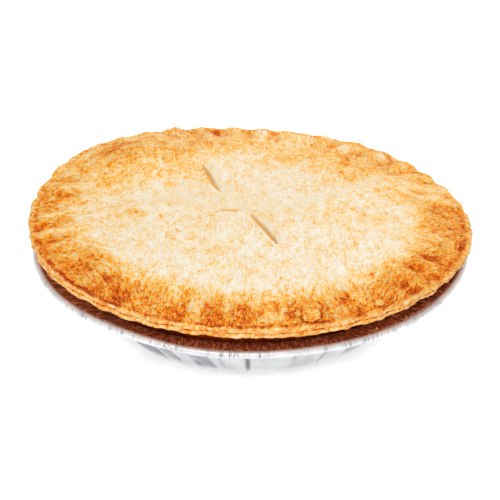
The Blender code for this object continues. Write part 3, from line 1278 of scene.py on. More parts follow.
    def swirl(self, x: Array, y: Array) -> tuple[Array, Array]:
        """Coordinates of the fibres that curve round the hump and along the fold.

        On the left they are distance and direction about a point behind the
        hump, and on the right about one behind the fold's far end. The
        direction is squeezed, so that a pattern on them is drawn out.

        Args:
            x, y: Places on the lid.

        Returns:
            Coordinates, one to a row, and the share of the fibres that shows.
        """
        left, right = self.swirls
        from_x = x - np.where(x < 0.0, left.x, right.x)
        from_y = y - np.where(x < 0.0, left.y, right.y)
        turned = np.arctan2(from_y, from_x) * self.swirl_length
        flat = np.column_stack([np.hypot(from_x, from_y), turned, np.zeros_like(x)])
        return flat, left.shown(x, y) + right.shown(x, y)

    def flakes(self, flat: Array) -> Array:
        """Thin overlapping flakes of dough, as a stepped field.

        A random field, bent by two others, is cut into levels. Each level
        is flat and ends in a short steep side.

        Args:
            flat: Places on the lid, one to a row.

        Returns:
            Height from about -1 to 1.
        """
        bent = flat.copy()
        for axis, bend in enumerate(self.flake_bends):
            bent[:, axis] += self.noise.of(bend, flat)
        levels = self.flake_levels * self.noise.of(self.flake_grain, bent)
        whole = np.floor(levels)
        return (whole + self.flake_side.at(levels - whole)) / self.flake_levels

    def relief(self, x: Array, y: Array) -> Array:
        """Fine relief of the lid.

        Flakes, blisters of two sizes and fibres, less in the hollows that get
        painted shade; wrinkles and lumps beside the crimps; small swellings;
        the crease behind the fold; and the vents with the lid beside them.

        Args:
            x, y: Places on the lid.

        Returns:
            Height to add to the large forms.
        """
        form, noise = self.form, self.noise
        flat = self.drawn(x, y, self.relief_squeeze)
        rim = self.rim.at(np.hypot(x, y))
        rough = self.rough_mean + noise.of(self.rough_drift, flat) + self.rough_rim * rim
        rough = rough * (1.0 - self.rough_lost * self.dull(x, y))
        swirl, swirled = self.swirl(x, y)
        height = self.flake_height * self.flakes(flat) + noise.blistered(self.blisters, flat)
        height = height * rough
        height += noise.blistered(self.small_blisters, flat) * np.sqrt(np.clip(rough, 0.0, 1.0))
        height += noise.of(self.fibre, swirl) * swirled
        height += self.wrinkle_height * self.wrinkles(x, y)
        height += noise.of(self.rim_lumps, flat) * rim
        height += self.rim_lobe * (0.5 - form.crimp(np.arctan2(y, x))) * rim**4
        height += summed(self.small_swells, x, y)
        height -= self.crease_depth * self.crease.at(form.behind_fold(x, y), x)
        for vent in form.vents:
            depth, beside, _ = vent.opening(x, y, form.vent_width)
            height = height * (1.0 - self.vent_smoothed.at(depth)) + beside
            height -= form.vent_depth * depth
        return height

    def lid_height(self, x: Array, y: Array) -> Array:
        """Height of the finished lid."""
        return self.form.plain_lid(x, y) + self.relief(x, y)

    def kept_fields(self, points: Array, toast: Array, broken: Array) -> dict[str, Array]:
        """Numbers that the crust's material reads at each point.

        Args:
            points: The points.
            toast: How brown each is.
            broken: How much of the dough's inside each shows.

        Returns:
            The fields by name.
        """
        x, y, z = points.T
        swirl, swirled = self.swirl(x, y)
        grain = self.drawn(x, y, self.colour_squeeze)
        grain[:, 2] += z
        top = smooth_step(self.form.edge_bottom, self.form.edge_top, z)
        return {
            "toast": toast,
            "broken": broken,
            # Share of painted shade on the lid's top; it also evens out the colour there.
            "dull": self.dull(x, y) * top * (1.0 - broken),
            "grain": grain,
            "swirl": swirl,
            "swirled": swirled * top,
        }


@dataclass(frozen=True)
class Baking:
    """How brown the lid is baked. Pairs of numbers hold for its front and its back."""

    dough: Dough
    base: float = 0.155
    back: Span = Span(-0.05, 0.50)
    middles: tuple[float, float] = (89.0 * MM, 62.0 * MM)
    halves: tuple[float, float] = (12.0 * MM, 25.0 * MM)
    amounts: tuple[float, float] = (0.45, 0.28)
    drift: Grain = Grain(24.0 * MM, 6.0 * MM, 0.0, 2)
    turns: tuple[Turn, ...] = (
        Turn(222.0, 20.0, 0.11), Turn(325.0, 20.0, 0.03), Turn(356.0, 12.0, -0.03),
        Turn(118.0, 16.0, 0.05), Turn(144.0, 14.0, 0.06), Turn(160.0, 10.0, -0.12),
        Turn(180.0, 10.0, -0.06), Turn(200.0, 9.0, -0.05), Turn(20.0, 11.0, -0.09),
        Turn(44.0, 12.0, 0.04), Turn(80.0, 14.0, -0.06),
    )
    starts: tuple[Turn, ...] = (
        Turn(180.0, 14.0, 4.0 * MM), Turn(0.0, 12.0, -3.0 * MM), Turn(102.0, 12.0, 8.0 * MM),
        Turn(124.0, 12.0, -8.0 * MM), Turn(248.0, 14.0, 4.0 * MM),
    )
    patches: tuple[Swell, ...] = (
        Swell(-74.0, 52.0, 14.0, 0.10), Swell(-52.0, 64.0, 10.0, 0.08),
        Swell(-102.0, 27.0, 8.0, 0.14), Swell(-98.0, 8.0, 8.0, 0.12),
        Swell(-33.0, 76.0, 11.0, 0.10), Swell(-12.0, 88.0, 12.0, 0.06),
        Swell(47.0, 78.0, 8.0, 0.08), Swell(56.0, 64.0, 9.0, 0.10), Swell(20.0, 64.0, 7.0, 0.08),
        Swell(54.0, -12.0, 16.0, 0.08), Swell(102.0, -14.0, 8.0, 0.14),
        Swell(106.0, -24.0, 6.0, 0.12), Swell(74.0, -64.0, 6.0, 0.14),
        Swell(67.0, 18.0, 3.4, 0.22), Swell(-58.0, -10.5, 2.6, 0.40),
        Swell(92.0, 38.0, 3.4, 0.34), Swell(92.0, 38.0, 1.6, -0.34),
        Swell(-21.0, 104.0, 5.0, 0.40), Swell(-40.0, 6.0, 12.0, 0.06),
        Swell(0.0, -66.0, 26.0, -0.05), Swell(-68.0, -2.0, 15.0, 0.12),
        Swell(18.0, 46.0, 24.0, -0.05),
    )
    rim: Span = Span(84.0 * MM, 100.0 * MM)
    crimp_gain: float = 0.26
    rim_loss: float = 0.03
    wrinkle_loss: float = 0.34
    groove_base: float = 0.10
    groove_width: float = 1.5 * MM
    groove_turns: tuple[Turn, ...] = (
        Turn(212.0, 24.0, 0.42), Turn(262.0, 26.0, 0.28), Turn(300.0, 18.0, 0.18),
        Turn(350.0, 20.0, 0.20),
    )
    groove_shifts: tuple[Turn, ...] = (Turn(222.0, 26.0, 2.4 * MM), Turn(272.0, 30.0, 2.0 * MM))
    groove_mean: float = 0.6
    groove_breaks: Grain = Grain(7.0 * MM, 0.9, 0.3, 3)
    groove_most: float = 1.3
    outside: Span = Span(110.6 * MM, 112.0 * MM)
    outside_level: float = 0.50
    outside_share: float = 0.7
    vent_gain: float = 0.1
    vent_rise: Span = Span(0.0, 0.5)

    def lid(self, x: Array, y: Array) -> Array:
        """How brown the lid is, 0 pale and 1 dark.

        It rises towards the edge, quickly at the front and slowly over a
        broad band at the back, by an amount that depends on the direction.
        It is more in the crimps' dents and in the groove, less on ridges and
        outside the groove, plus toasted and pale patches and the vents.

        Args:
            x, y: Places on the lid.

        Returns:
            The toasting.
        """
        form, noise = self.dough.form, self.dough.noise
        radius, angle = np.hypot(x, y), np.arctan2(y, x)
        flat = np.column_stack([x, y, np.zeros_like(x)])
        back = self.back.at(np.sin(angle))
        middle = between(self.middles, back) + summed(self.starts, angle) + noise.of(self.drift, flat)
        amount = between(self.amounts, back) + summed(self.turns, angle)
        past = (radius - middle) / between(self.halves, back)
        level = self.base + amount * smooth_step(-1.0, 1.0, past) + summed(self.patches, x, y)
        level += self.rim.at(radius) * (self.crimp_gain * form.crimp(angle) - self.rim_loss)
        level -= self.wrinkle_loss * self.dough.wrinkles(x, y)

        shift = summed(self.groove_shifts, angle)
        groove = bell(radius - form.groove_radius - shift, self.groove_width)
        broken = np.clip(self.groove_mean + noise.of(self.groove_breaks, flat), 0.0, self.groove_most)
        level += groove * broken * (self.groove_base + summed(self.groove_turns, angle))
        outside = self.outside.at(radius - shift) * self.outside_share
        level += outside * (self.outside_level - level)
        for vent in form.vents:
            depth = vent.opening(x, y, form.vent_width)[0]
            level = np.maximum(level, (vent.toasted + self.vent_gain) * self.vent_rise.at(depth))
        return level


@dataclass(frozen=True)
class TopCrust(Piece):
    """Top crust: the lid out to its cut edge, closed below.

    The stops of the edge are rows of inset and drop, in millimetres, and of
    how much browner than the rest of the edge each is.
    """

    name = "top_crust"
    node = Part.PIE_NODE
    dough: Dough
    half_rows: int = 139
    edge_stops: tuple[tuple[float, float, float], ...] = (
        (1.15, 0.10, 0.0), (0.62, 0.26, 0.0), (0.24, 0.55, 0.0), (0.04, 0.90, -0.1),
        (0.02, 1.18, 0.0), (0.22, 1.44, 0.3), (0.10, 1.72, 0.0), (0.00, 2.12, -0.1),
        (0.12, 2.56, 0.0), (0.24, 2.95, 0.1), (0.62, 3.20, 0.5), (2.60, 3.24, 0.6),
        (7.00, 3.24, 0.6),
    )
    last_share: float = 0.9865
    ring_spread: float = 0.17
    vent_pull: float = 0.70
    vent_reach: float = 4.5 * MM
    rag: Grain = Grain(3.8 * MM, 1.3 * MM, 0.0, 4, 0.72)
    rag_lines: Grain = Grain(2.6 * MM, 0.45 * MM, 0.13, stretch=ALONG_EDGE)
    rag_fade: Span = Span(1.2 * MM, 3.0 * MM)
    wobble: Grain = Grain(7.0 * MM, 0.6 * MM, 0.7, 4, 0.6, LEVEL)
    sinking: Span = Span(0.1 * MM, 1.0 * MM)
    cut_toast: float = 0.44
    cut_browning: float = 0.4
    cut_flecks: Grain = Grain(3.0 * MM, 0.3, 0.4, 2)
    crumb_share: float = 0.75
    crumb_breaks: Grain = Grain(4.0 * MM, 0.9, 0.23)
    hidden_toast: float = 0.5

    def lid_grid(self) -> tuple[Array, Array, Array]:
        """Square grid laid on a disc, square rings becoming round ones.

        A place (s, t) of the square goes to the ring share max(|s|, |t|) and
        to the direction pi / 4 times the smaller over the larger, counted
        from the middle of its side. Rings are a little closer at the edge.

        Returns:
            Radius, direction, and the outer ring's point numbers.
        """
        line = np.linspace(-1.0, 1.0, 2 * self.half_rows + 1)
        s, t = (part.ravel() for part in np.meshgrid(line, line, indexing="xy"))
        share = np.maximum(np.abs(s), np.abs(t))
        wide = np.abs(s) >= np.abs(t)
        lower, upper = np.where(wide, t, s), np.where(wide, s, t)
        ratio = np.divide(lower, upper, out=np.zeros_like(s), where=upper != 0.0)
        quarter = math.pi / 4.0 * ratio
        angle = np.where(wide, quarter, math.pi / 2.0 - quarter)
        angle = np.where(upper < 0.0, angle + math.pi, angle)
        spread = share + self.ring_spread * np.sin(math.pi * share) / math.pi
        outer = np.flatnonzero(share > 1.0 - 0.5 / self.half_rows)
        outer = outer[np.argsort(np.mod(angle[outer], FULL_TURN))]
        return spread * self.dough.form.edge_radius * self.last_share, angle, outer

    def lid(self, radius: Array, angle: Array) -> tuple[Array, Array]:
        """Points of the lid and how brown each is.

        The grid is drawn towards the vents, and its outermost rings stand
        out on the crimps' lobes.

        Args:
            radius: Distances from the middle.
            angle: Directions.

        Returns:
            The points and their toasting.
        """
        form = self.dough.form
        x, y = radius * np.cos(angle), radius * np.sin(angle)
        for vent in form.vents:
            x, y = vent.gathered(x, y, self.vent_pull, self.vent_reach)
        near_edge = form.lobe_rise.at(radius / form.edge_radius)
        grown = 1.0 + form.lobe(angle) * near_edge / (radius + MM)
        height = self.dough.lid_height(x, y)
        points = np.column_stack([x * grown, y * grown, height])
        return points, Baking(self.dough).lid(x, y)

    def edge(
        self, ring: Array, ring_angle: Array, ring_toast: Array
    ) -> tuple[Array, Array, Array]:
        """Rings of the cut edge below the lid's outer ring.

        They follow the stops of the edge and are pushed out and in by a
        random field, with another of thin level lines.

        Args:
            ring: Points of the lid's outer ring.
            ring_angle: Its directions.
            ring_toast: How brown its points are.

        Returns:
            Points, how brown each is, and how much of the inside each shows.
        """
        form, noise, rings = self.dough.form, self.dough.noise, len(self.edge_stops)
        inset, drop, browned = (np.repeat(stop, len(ring)) for stop in np.array(self.edge_stops).T)
        inset, drop = inset * MM, drop * MM
        angle = np.tile(ring_angle, rings)
        base = circle_of(angle) * form.edge_radius
        base[:, 2] = drop
        sunk = self.sinking.at(drop)

        ragged = (noise.of(self.rag, base) + noise.of(self.rag_lines, base)) * sunk
        ragged = ragged * (1.0 - self.rag_fade.at(inset))
        points = circle_of(angle) * (form.edge_radius - inset + ragged + form.lobe(angle))[:, None]
        first = ring[:, 2] - form.edge_top - form.edge_lift(ring_angle)
        level = form.edge_top + form.edge_lift(angle) - drop
        level += noise.of(self.wobble, base) * sunk + np.tile(first, rings) * (1.0 - sunk)
        points[:, 2] = level + form.thinning(angle, form.edge_top - drop)

        flecks = self.cut_toast + self.cut_browning * browned + noise.of(self.cut_flecks, base)
        toast = np.tile(ring_toast, rings) * (1.0 - sunk) + sunk * flecks
        crumbly = self.crumb_share - browned + noise.of(self.crumb_breaks, base)
        return points, toast, sunk * np.clip(crumbly, 0.0, 1.0)

    def surface(self) -> Surface:
        """Join the lid, its cut edge and the flat middle that closes it below.

        Returns:
            The surface.
        """
        radius, angle, outer = self.lid_grid()
        lid, lid_toast = self.lid(radius, angle)
        edge, edge_toast, crumbly = self.edge(lid[outer], angle[outer], lid_toast[outer])
        under = [[0.0, 0.0, self.dough.form.edge_top - self.edge_stops[-1][1] * MM]]
        points = np.concatenate([lid, edge, under])
        toast = np.concatenate([lid_toast, edge_toast, [self.hidden_toast]])
        broken = np.concatenate([np.zeros(len(lid)), crumbly, [0.0]])

        rings = np.arange(len(edge)).reshape(-1, len(outer)) + len(lid)
        side = 2 * self.half_rows + 1
        quads = [grid_quads(side, side), ring_quads(np.concatenate([outer[None], rings]))]
        cap = fan(len(points) - 1, rings[-1], False)
        fields = self.dough.kept_fields(points, toast, broken)
        return Surface(points, np.concatenate(quads), cap, fields)


@dataclass(frozen=True)
class BottomCrust(Piece):
    """Bottom crust: from the seam down its cut edge and underside, into the pan.

    The stops of the edge are rows of inset and drop, in millimetres.
    """

    name = "bottom_crust"
    node = Part.PIE_NODE
    dough: Dough
    pan: FoilPan
    columns: int = 1120
    seam_drop: float = 3.42
    edge_stops: tuple[tuple[float, float], ...] = (
        (2.60, 3.42), (0.80, 3.46), (0.42, 3.62), (0.26, 4.05), (0.22, 4.45), (0.36, 4.75),
        (0.26, 5.05), (0.34, 5.50), (0.80, 5.95), (1.50, 6.34),
    )
    clearance: float = 0.7 * MM
    floor: float = 1.2 * MM
    longest_run: float = 1.6 * MM
    edge_fade: Span = Span(1.0 * MM, 3.5 * MM)
    rag: Grain = Grain(3.8 * MM, 1.35 * MM, 0.61, 4, 0.72)
    rag_lines: Grain = Grain(2.6 * MM, 0.45 * MM, 0.2, stretch=ALONG_EDGE)
    hanging: Grain = Grain(5.0 * MM, 0.8 * MM, 0.8, 4, 0.6, LEVEL)
    hanging_rise: Span = Span(43.6 * MM, 42.2 * MM)
    brown_seam: Span = Span(3.44 * MM, 3.8 * MM)
    brown_foot: Span = Span(6.2 * MM, 7.4 * MM)
    hidden_inset: Span = Span(2.5 * MM, 6.0 * MM)
    hidden_height: Span = Span(43.0 * MM, 41.0 * MM)
    cut_toast: float = 0.46
    cut_browning: float = 0.30
    cut_flecks: Grain = Grain(3.0 * MM, 0.3, 0.9, 2)
    # Browner underside under the edge: its own baking, plus painted shade under the overhang.
    hidden_browning: float = 0.32
    crumb_share: float = 0.80
    crumb_breaks: Grain = Grain(3.4 * MM, 0.8, 0.43)

    def profile(self) -> Array:
        """Section from the hidden middle under the lid, over the cut edge, to the base.

        Returns:
            Rows of (radius, height).
        """
        form, pan, gap = self.dough.form, self.pan, self.clearance
        edge, top = form.edge_radius, form.edge_top
        seam = top - self.seam_drop * MM
        above = [(0.0, seam - 0.1 * MM), (edge * 0.5, seam - 0.1 * MM)]
        shown = [(edge - 7.0 * MM, seam)]
        shown += [(edge - inset * MM, top - drop * MM) for inset, drop in self.edge_stops]
        shown.append((edge - 5.0 * MM, form.edge_bottom - 1.3 * MM))
        shown.append((form.underside_radius, form.underside_height))
        below = [
            (pan.mouth_radius - gap, pan.depth + 2.0 * gap),
            ((pan.base_radius + pan.mouth_radius) / 2.0 - gap, pan.depth / 2.0 + gap),
            (pan.base_radius + 4.0 * MM, 7.6 * MM),
            (pan.base_radius - 3.5 * MM, self.floor),
            (pan.base_radius / 2.0, self.floor),
            (0.0, self.floor),
        ]
        return np.concatenate([above, refined(shown, self.longest_run), below])

    def surface(self) -> Surface:
        """Work out the crust's points, faces and kept fields.

        The profile is carried round Z, then lifted, pushed out and in by
        random fields, and left to hang unevenly under its edge.

        Returns:
            The surface.
        """
        form, noise = self.dough.form, self.dough.noise
        grid = TurnedGrid.carried(self.profile(), self.columns)
        angle, share = grid.angle, grid.radius / form.edge_radius
        base = grid.points(grid.radius, grid.height)
        inset, drop = form.edge_radius - grid.radius, form.edge_top - grid.height
        over_pan = smooth_step(
            form.underside_height - form.underside_band, form.edge_bottom, grid.height
        )
        at_edge = 1.0 - self.edge_fade.at(inset)
        ragged = (noise.of(self.rag, base) + noise.of(self.rag_lines, base)) * at_edge
        out = form.lobe(angle) * form.lobe_rise.at(share) * over_pan + ragged
        lift = form.edge_lift(angle) * over_pan + form.thinning(angle, grid.height)
        lift = lift * form.lift_rise.at(share)
        hanging = noise.of(self.hanging, base) * at_edge * self.hanging_rise.at(grid.height)
        points = grid.points(grid.radius + out, grid.height + lift + hanging)

        browned = 1.0 - self.brown_seam.at(drop) + self.brown_foot.at(drop)
        browned = np.clip(browned, 0.0, 1.0)
        hidden = self.hidden_inset.at(inset) * self.hidden_height.at(grid.height)
        toast = self.cut_toast + self.cut_browning * browned + noise.of(self.cut_flecks, base)
        # Underside under the edge: baked browning plus painted shade.
        toast += self.hidden_browning * hidden
        crumbly = self.crumb_share - browned + noise.of(self.crumb_breaks, base)
        broken = at_edge * np.clip(crumbly, 0.0, 1.0)
        fields = self.dough.kept_fields(points, toast, broken)
        return Surface(points, grid.quads, grid.triangles, fields)


# ---------------------------------------------------------------- the pan


def slanted_away(angle: Array, share: Array, direction: float, lean: float) -> Array:
    """Degrees from a direction that leans over with the height.

    Args:
        angle: Directions.
        share: Heights as a share of the wall's.
        direction: Direction at half height, in degrees.
        lean: How far its top stands off its foot, in degrees.

    Returns:
        Degrees, from -180 to 180.
    """
    shifted = angle - math.radians(direction) - math.radians(lean) * (share - 0.5)
    return np.degrees(np.angle(np.exp(1j * shifted)))


class Crease(NamedTuple):
    """A sharp slanted dent in the pan's wall.

    Attributes:
        direction: Direction at half height, in degrees.
        lean: How far its top stands off its foot, in degrees.
        width: Half width, in degrees.
        depth: Depth, in millimetres.
        reach: Share of the wall's height that it takes, from the top.
    """

    direction: float
    lean: float
    width: float
    depth: float
    reach: float

    def at(self, angle: Array, share: Array) -> Array:
        """Depth in millimetres: a narrow bell round a direction that shifts with the height."""
        away = slanted_away(angle, share, self.direction, self.lean)
        low = 1.0 - self.reach
        return self.depth * bell(away, self.width) * smooth_step(low - 0.1, low + 0.15, share)


class Facet(NamedTuple):
    """A stretch of the wall painted darker where it would catch less light: middle, half width and
    lean in degrees.
    """

    direction: float
    half: float
    lean: float
    dullness: float

    def at(self, angle: Array, share: Array) -> Array:
        """Painted darkness, even between two sharp slanted sides."""
        away = np.abs(slanted_away(angle, share, self.direction, self.lean))
        return self.dullness * smooth_step(self.half + 0.3, self.half - 0.3, away)


class PanZones(NamedTuple):
    """Where the points of the pan lie.

    Attributes:
        share: Height as a share of the pan's depth.
        wall, flange, bead: 1 on each and 0 off it.
        out, up: Place across and over the bead, from -1 to 1.
        strip: Coordinates that run round the pan and across its rim.
        steep: Coordinates that run round the pan and up its wall.
    """

    share: Array
    wall: Array
    flange: Array
    bead: Array
    out: Array
    up: Array
    strip: Array
    steep: Array


@dataclass(frozen=True)
class FoilPan(Piece):
    """Pressed foil pan: flat base, creased wall, flange and rolled bead."""

    name = "foil_pan_shell"
    slot = Part.FOIL_SLOT
    node = Part.PAN_NODE
    rim_radius: float = 113.0 * MM
    mouth_radius: float = 98.0 * MM
    base_radius: float = 74.0 * MM
    depth: float = 32.0 * MM
    foil: float = 0.5 * MM
    bead_radius: float = 1.9 * MM
    flange_rise: float = 1.3 * MM
    wall_heights: tuple[float, ...] = (5.6 * MM, 17.7 * MM, 28.5 * MM)
    bead_points: int = 17
    rim_run: float = 1.4 * MM
    wall_run: float = 1.8 * MM
    rim_squeeze: float = 0.22
    wall_squeeze: float = 0.4
    columns: int = 1400
    seed: int = 5
    rim_waves: tuple[Wave, ...] = (Wave(5, 0.8, 0.25 * MM), Wave(9, -1.1, 0.125 * MM))
    rim_bend: Turn = Turn(233.0, 17.0, 2.0 * MM)
    front_creases: tuple[Crease, ...] = (
        Crease(269.0, 0.0, 0.7, 1.2, 1.0), Crease(259.5, -4.0, 0.35, 0.9, 0.8),
        Crease(248.2, -7.0, 0.5, 1.2, 1.0), Crease(240.6, -8.0, 0.5, 1.1, 0.9),
        Crease(233.2, -9.0, 0.6, 1.2, 1.0), Crease(229.5, -9.0, 0.35, 0.8, 0.7),
        Crease(285.0, 3.0, 0.6, 0.5, 0.7), Crease(297.0, 4.0, 0.7, 0.6, 1.0),
        Crease(309.0, 8.0, 0.7, 0.8, 0.8), Crease(278.0, 2.0, 0.5, 0.3, 0.5),
    )
    back_creases: int = 16
    back_start: float = -35.0
    back_span: float = 250.0
    crease_depth: float = 1.4 * MM
    # Painted shade in the wall's creases: how much per millimetre of depth, and at most.
    crease_shade: float = 0.8
    crease_darkest: float = 0.9
    buckle: Grain = Grain(14.0 * MM, 0.45 * MM, 0.9)
    fine_buckle: Grain = Grain(3.4 * MM, 0.18 * MM)
    flute: Grain = Grain(1.5 * MM, 0.20 * MM)
    bead_swell: Grain = Grain(2.4 * MM, 0.14 * MM, 0.5)
    bead_dent: Grain = Grain(1.6 * MM, 1.0, 0.3)
    dent_least: float = 0.2
    dent_depth: float = 0.5 * MM
    facets: tuple[Facet, ...] = (
        Facet(227.0, 6.0, -9.0, 0.50), Facet(238.4, 2.2, -8.0, 0.35),
        Facet(252.0, 3.6, -6.0, 0.40), Facet(291.0, 6.0, 4.0, 0.15),
        Facet(313.0, 5.0, 8.0, 0.25),
    )
    # Painted shade that greys the foil of the wall and the bead; the same share sets how metallic
    # they are.
    wall_dullness: float = 0.48
    bead_dullness: float = 0.30
    tick_dullness: float = 0.1
    # Painted dark ticks across the bead, strongest at the front.
    tick_height: float = 0.25
    tick_reach: float = 0.7
    ticked_front: Turn = Turn(268.0, 26.0, 1.0)
    # Painted shade in the flange's brown band, darker towards its left and right ends.
    scorched_ends: tuple[Turn, ...] = (Turn(344.0, 30.0, 0.8), Turn(196.0, 24.0, 0.5))
    scorched_front: float = -0.26
    # Where the painted reflection of the crust's underside ends on the flange.
    glaze_ends: tuple[Turn, ...] = (Turn(236.0, 24.0, 2.2 * MM), Turn(312.0, 22.0, 1.9 * MM))
    glaze_border: Span = Span(1.9 * MM, -0.3 * MM)

    @property
    def bead_start(self) -> float:
        """Radius of the bead's inner side."""
        return self.rim_radius - 2.0 * self.bead_radius

    def wall_point(self, height: float, out: float) -> tuple[float, float]:
        """Point of the wall, on its inner side for out 0 and its outer for the foil's."""
        slope = (self.mouth_radius - self.base_radius) / self.depth
        return self.base_radius + slope * height + out * 0.8, height + (self.foil - out) * 0.5

    def profile(self) -> Array:
        """Section from the middle of the base inside, over the bead, to the middle below.

        Returns:
            Rows of (radius, height).
        """
        foil, base, mouth = self.foil, self.base_radius, self.mouth_radius
        bottom = [(0.0, foil), (base * 0.5, foil), (base - 2.6 * MM, foil)]
        inside = [(base - 0.6 * MM, foil + 0.5 * MM), (base + 1.1 * MM, 2.2 * MM)]
        inside += [self.wall_point(height, 0.0) for height in self.wall_heights]
        inside += [(mouth - 0.7 * MM, self.depth - 0.4 * MM)]
        brim = [(mouth + 0.6 * MM, self.depth + foil)]
        turns = np.radians(np.linspace(165.0, -145.0, self.bead_points))
        middle = np.array([self.rim_radius - self.bead_radius, self.depth + self.flange_rise])
        bead = middle + self.bead_radius * circle_of(turns)[:, :2]
        outside = [(mouth + 1.4 * MM, self.depth), (mouth, self.depth - 0.7 * MM)]
        outside += [self.wall_point(height, foil) for height in reversed(self.wall_heights)]
        outside += [(base + 1.7 * MM, 1.9 * MM), (base + 0.2 * MM, 0.35 * MM)]
        below = [(base - 1.8 * MM, 0.0), (base * 0.5, 0.0), (0.0, 0.0)]
        rim = refined([*brim, *bead], self.rim_run)
        wall_out = refined([rim[-1], *outside], self.wall_run)
        return np.concatenate([bottom, inside, rim, wall_out[1:], below])

    def flange_top(self, angle: Array, radius: Array) -> Array:
        """Height of the flange's upper side: an even slope, plus the bend of the rim."""
        slope = self.flange_rise / (self.rim_radius - self.bead_radius - self.mouth_radius)
        level = self.depth + self.foil + (radius - self.mouth_radius) * slope
        bent = smooth_step(self.mouth_radius, self.rim_radius, radius)
        return level + self.rim_bend.at(angle) * bent

    def zones(self, grid: TurnedGrid) -> PanZones:
        """Work out where each point of the grid lies.

        Args:
            grid: The profile carried round Z.

        Returns:
            The zones, each with smooth borders.
        """
        radius, height = grid.radius, grid.height
        mouth, base, bead = self.mouth_radius, self.base_radius, self.bead_start
        wall = smooth_step(base, base + 5.0 * MM, radius)
        wall = wall * smooth_step(mouth, mouth - 3.0 * MM, radius)
        flange = smooth_step(mouth, mouth + 1.0 * MM, radius)
        flange = flange * smooth_step(bead, bead - 1.5 * MM, radius)
        strip = circle_of(grid.angle) * self.rim_radius
        steep = strip.copy()
        strip[:, 2] = self.rim_squeeze * (radius + height)
        steep[:, 2] = self.wall_squeeze * height
        return PanZones(
            share=height / self.depth,
            wall=wall,
            flange=flange,
            bead=smooth_step(bead - 0.5 * MM, bead + 1.0 * MM, radius),
            out=(radius - self.rim_radius + self.bead_radius) / self.bead_radius,
            up=(height - self.depth - self.flange_rise) / self.bead_radius,
            strip=strip,
            steep=steep,
        )

    def creases(self, angle: Array, share: Array) -> Array:
        """Creases of the wall where the foil was gathered, in millimetres.

        The front ones stand where they are seen, and the others are drawn
        at random round the back.

        Args:
            angle: Directions.
            share: Heights as a share of the depth.

        Returns:
            Depth of the dents.
        """
        draw = np.random.default_rng(self.seed)
        total = summed(self.front_creases, angle, share)
        for number in range(self.back_creases):
            step = self.back_span / self.back_creases
            middle = self.back_start + step * (number + draw.uniform(0.1, 0.9))
            lean, width = draw.uniform(-8.0, 8.0), draw.uniform(0.5, 1.0)
            depth, reach = draw.uniform(0.4, 1.1), draw.uniform(0.5, 1.0)
            total = total + Crease(middle, lean, width, depth, reach).at(angle, share)
        return total

    def bent(self, grid: TurnedGrid, zones: PanZones, crease: Array) -> Array:
        """Points of the pan, bent by hand and oven.

        The wall has creases and a slight buckle that grows with its height,
        the flange fine flutes, and the bead small swellings and dents.

        Args:
            grid: The profile carried round Z.
            zones: Where its points lie.
            crease: Creases of the wall.

        Returns:
            The points.
        """
        noise = Noise(self.seed)
        buckle = noise.of(self.buckle, zones.steep) + noise.of(self.fine_buckle, zones.steep)
        wall = buckle * zones.share * zones.wall - self.crease_depth * crease
        dent = np.clip(noise.of(self.bead_dent, zones.strip) - self.dent_least, 0.0, 1.0)
        swell = noise.of(self.bead_swell, zones.strip) - self.dent_depth * dent
        swell = swell * zones.bead
        flute = noise.of(self.flute, zones.strip) * zones.flange
        lift = self.rim_bend.at(grid.angle) + summed(self.rim_waves, grid.angle)
        lift = lift * smooth_step(self.mouth_radius, self.rim_radius, grid.radius)
        return grid.points(
            grid.radius + wall + swell * zones.out, grid.height + lift + flute + swell * zones.up
        )

    def marks(self, grid: TurnedGrid, zones: PanZones, crease: Array) -> dict[str, Array]:
        """Numbers that the foil's material reads at each point.

        Args:
            grid: The profile carried round Z.
            zones: Where its points lie.
            crease: Creases of the wall.

        Returns:
            The fields by name.
        """
        angle, radius = grid.angle, grid.radius
        upper = grid.height > self.depth + 0.3 * MM
        border = self.glaze_border.at(radius + summed(self.glaze_ends, angle) - self.bead_start)
        mouth = smooth_step(self.mouth_radius, self.mouth_radius + 1.0 * MM, radius)
        front = self.ticked_front.at(angle)
        # Share of painted dark ticks on the bead's upper side.
        ticked = zones.bead * bell(zones.up - self.tick_height, self.tick_reach)
        # Painted shade on the wall, darker on its facets, and on the bead, darker at the front.
        dulled = (summed(self.facets, angle, zones.share) + self.wall_dullness) * zones.wall
        dulled += (self.bead_dullness + self.tick_dullness * front) * zones.bead
        return {
            # Share of the painted reflection on the flange's upper side.
            "glaze": upper * border * mouth,
            "ticked": ticked * (0.5 + 0.5 * front),
            "dulled": dulled,
            "strip": zones.strip,
            # Share of painted shade in the wall's creases.
            "creased": np.clip(self.crease_shade * crease, 0.0, self.crease_darkest),
            # Painted shade on the brown band, by direction.
            "scorched": summed(self.scorched_ends, angle) + self.scorched_front,
        }

    def surface(self) -> Surface:
        """Carry the profile round Z, bend it, and keep its marks.

        Returns:
            The surface.
        """
        grid = TurnedGrid.carried(self.profile(), self.columns)
        zones = self.zones(grid)
        crease = self.creases(grid.angle, zones.share) * zones.wall
        points = self.bent(grid, zones, crease)
        return Surface(points, grid.quads, grid.triangles, self.marks(grid, zones, crease))


# ---------------------------------------------------------------- small pieces


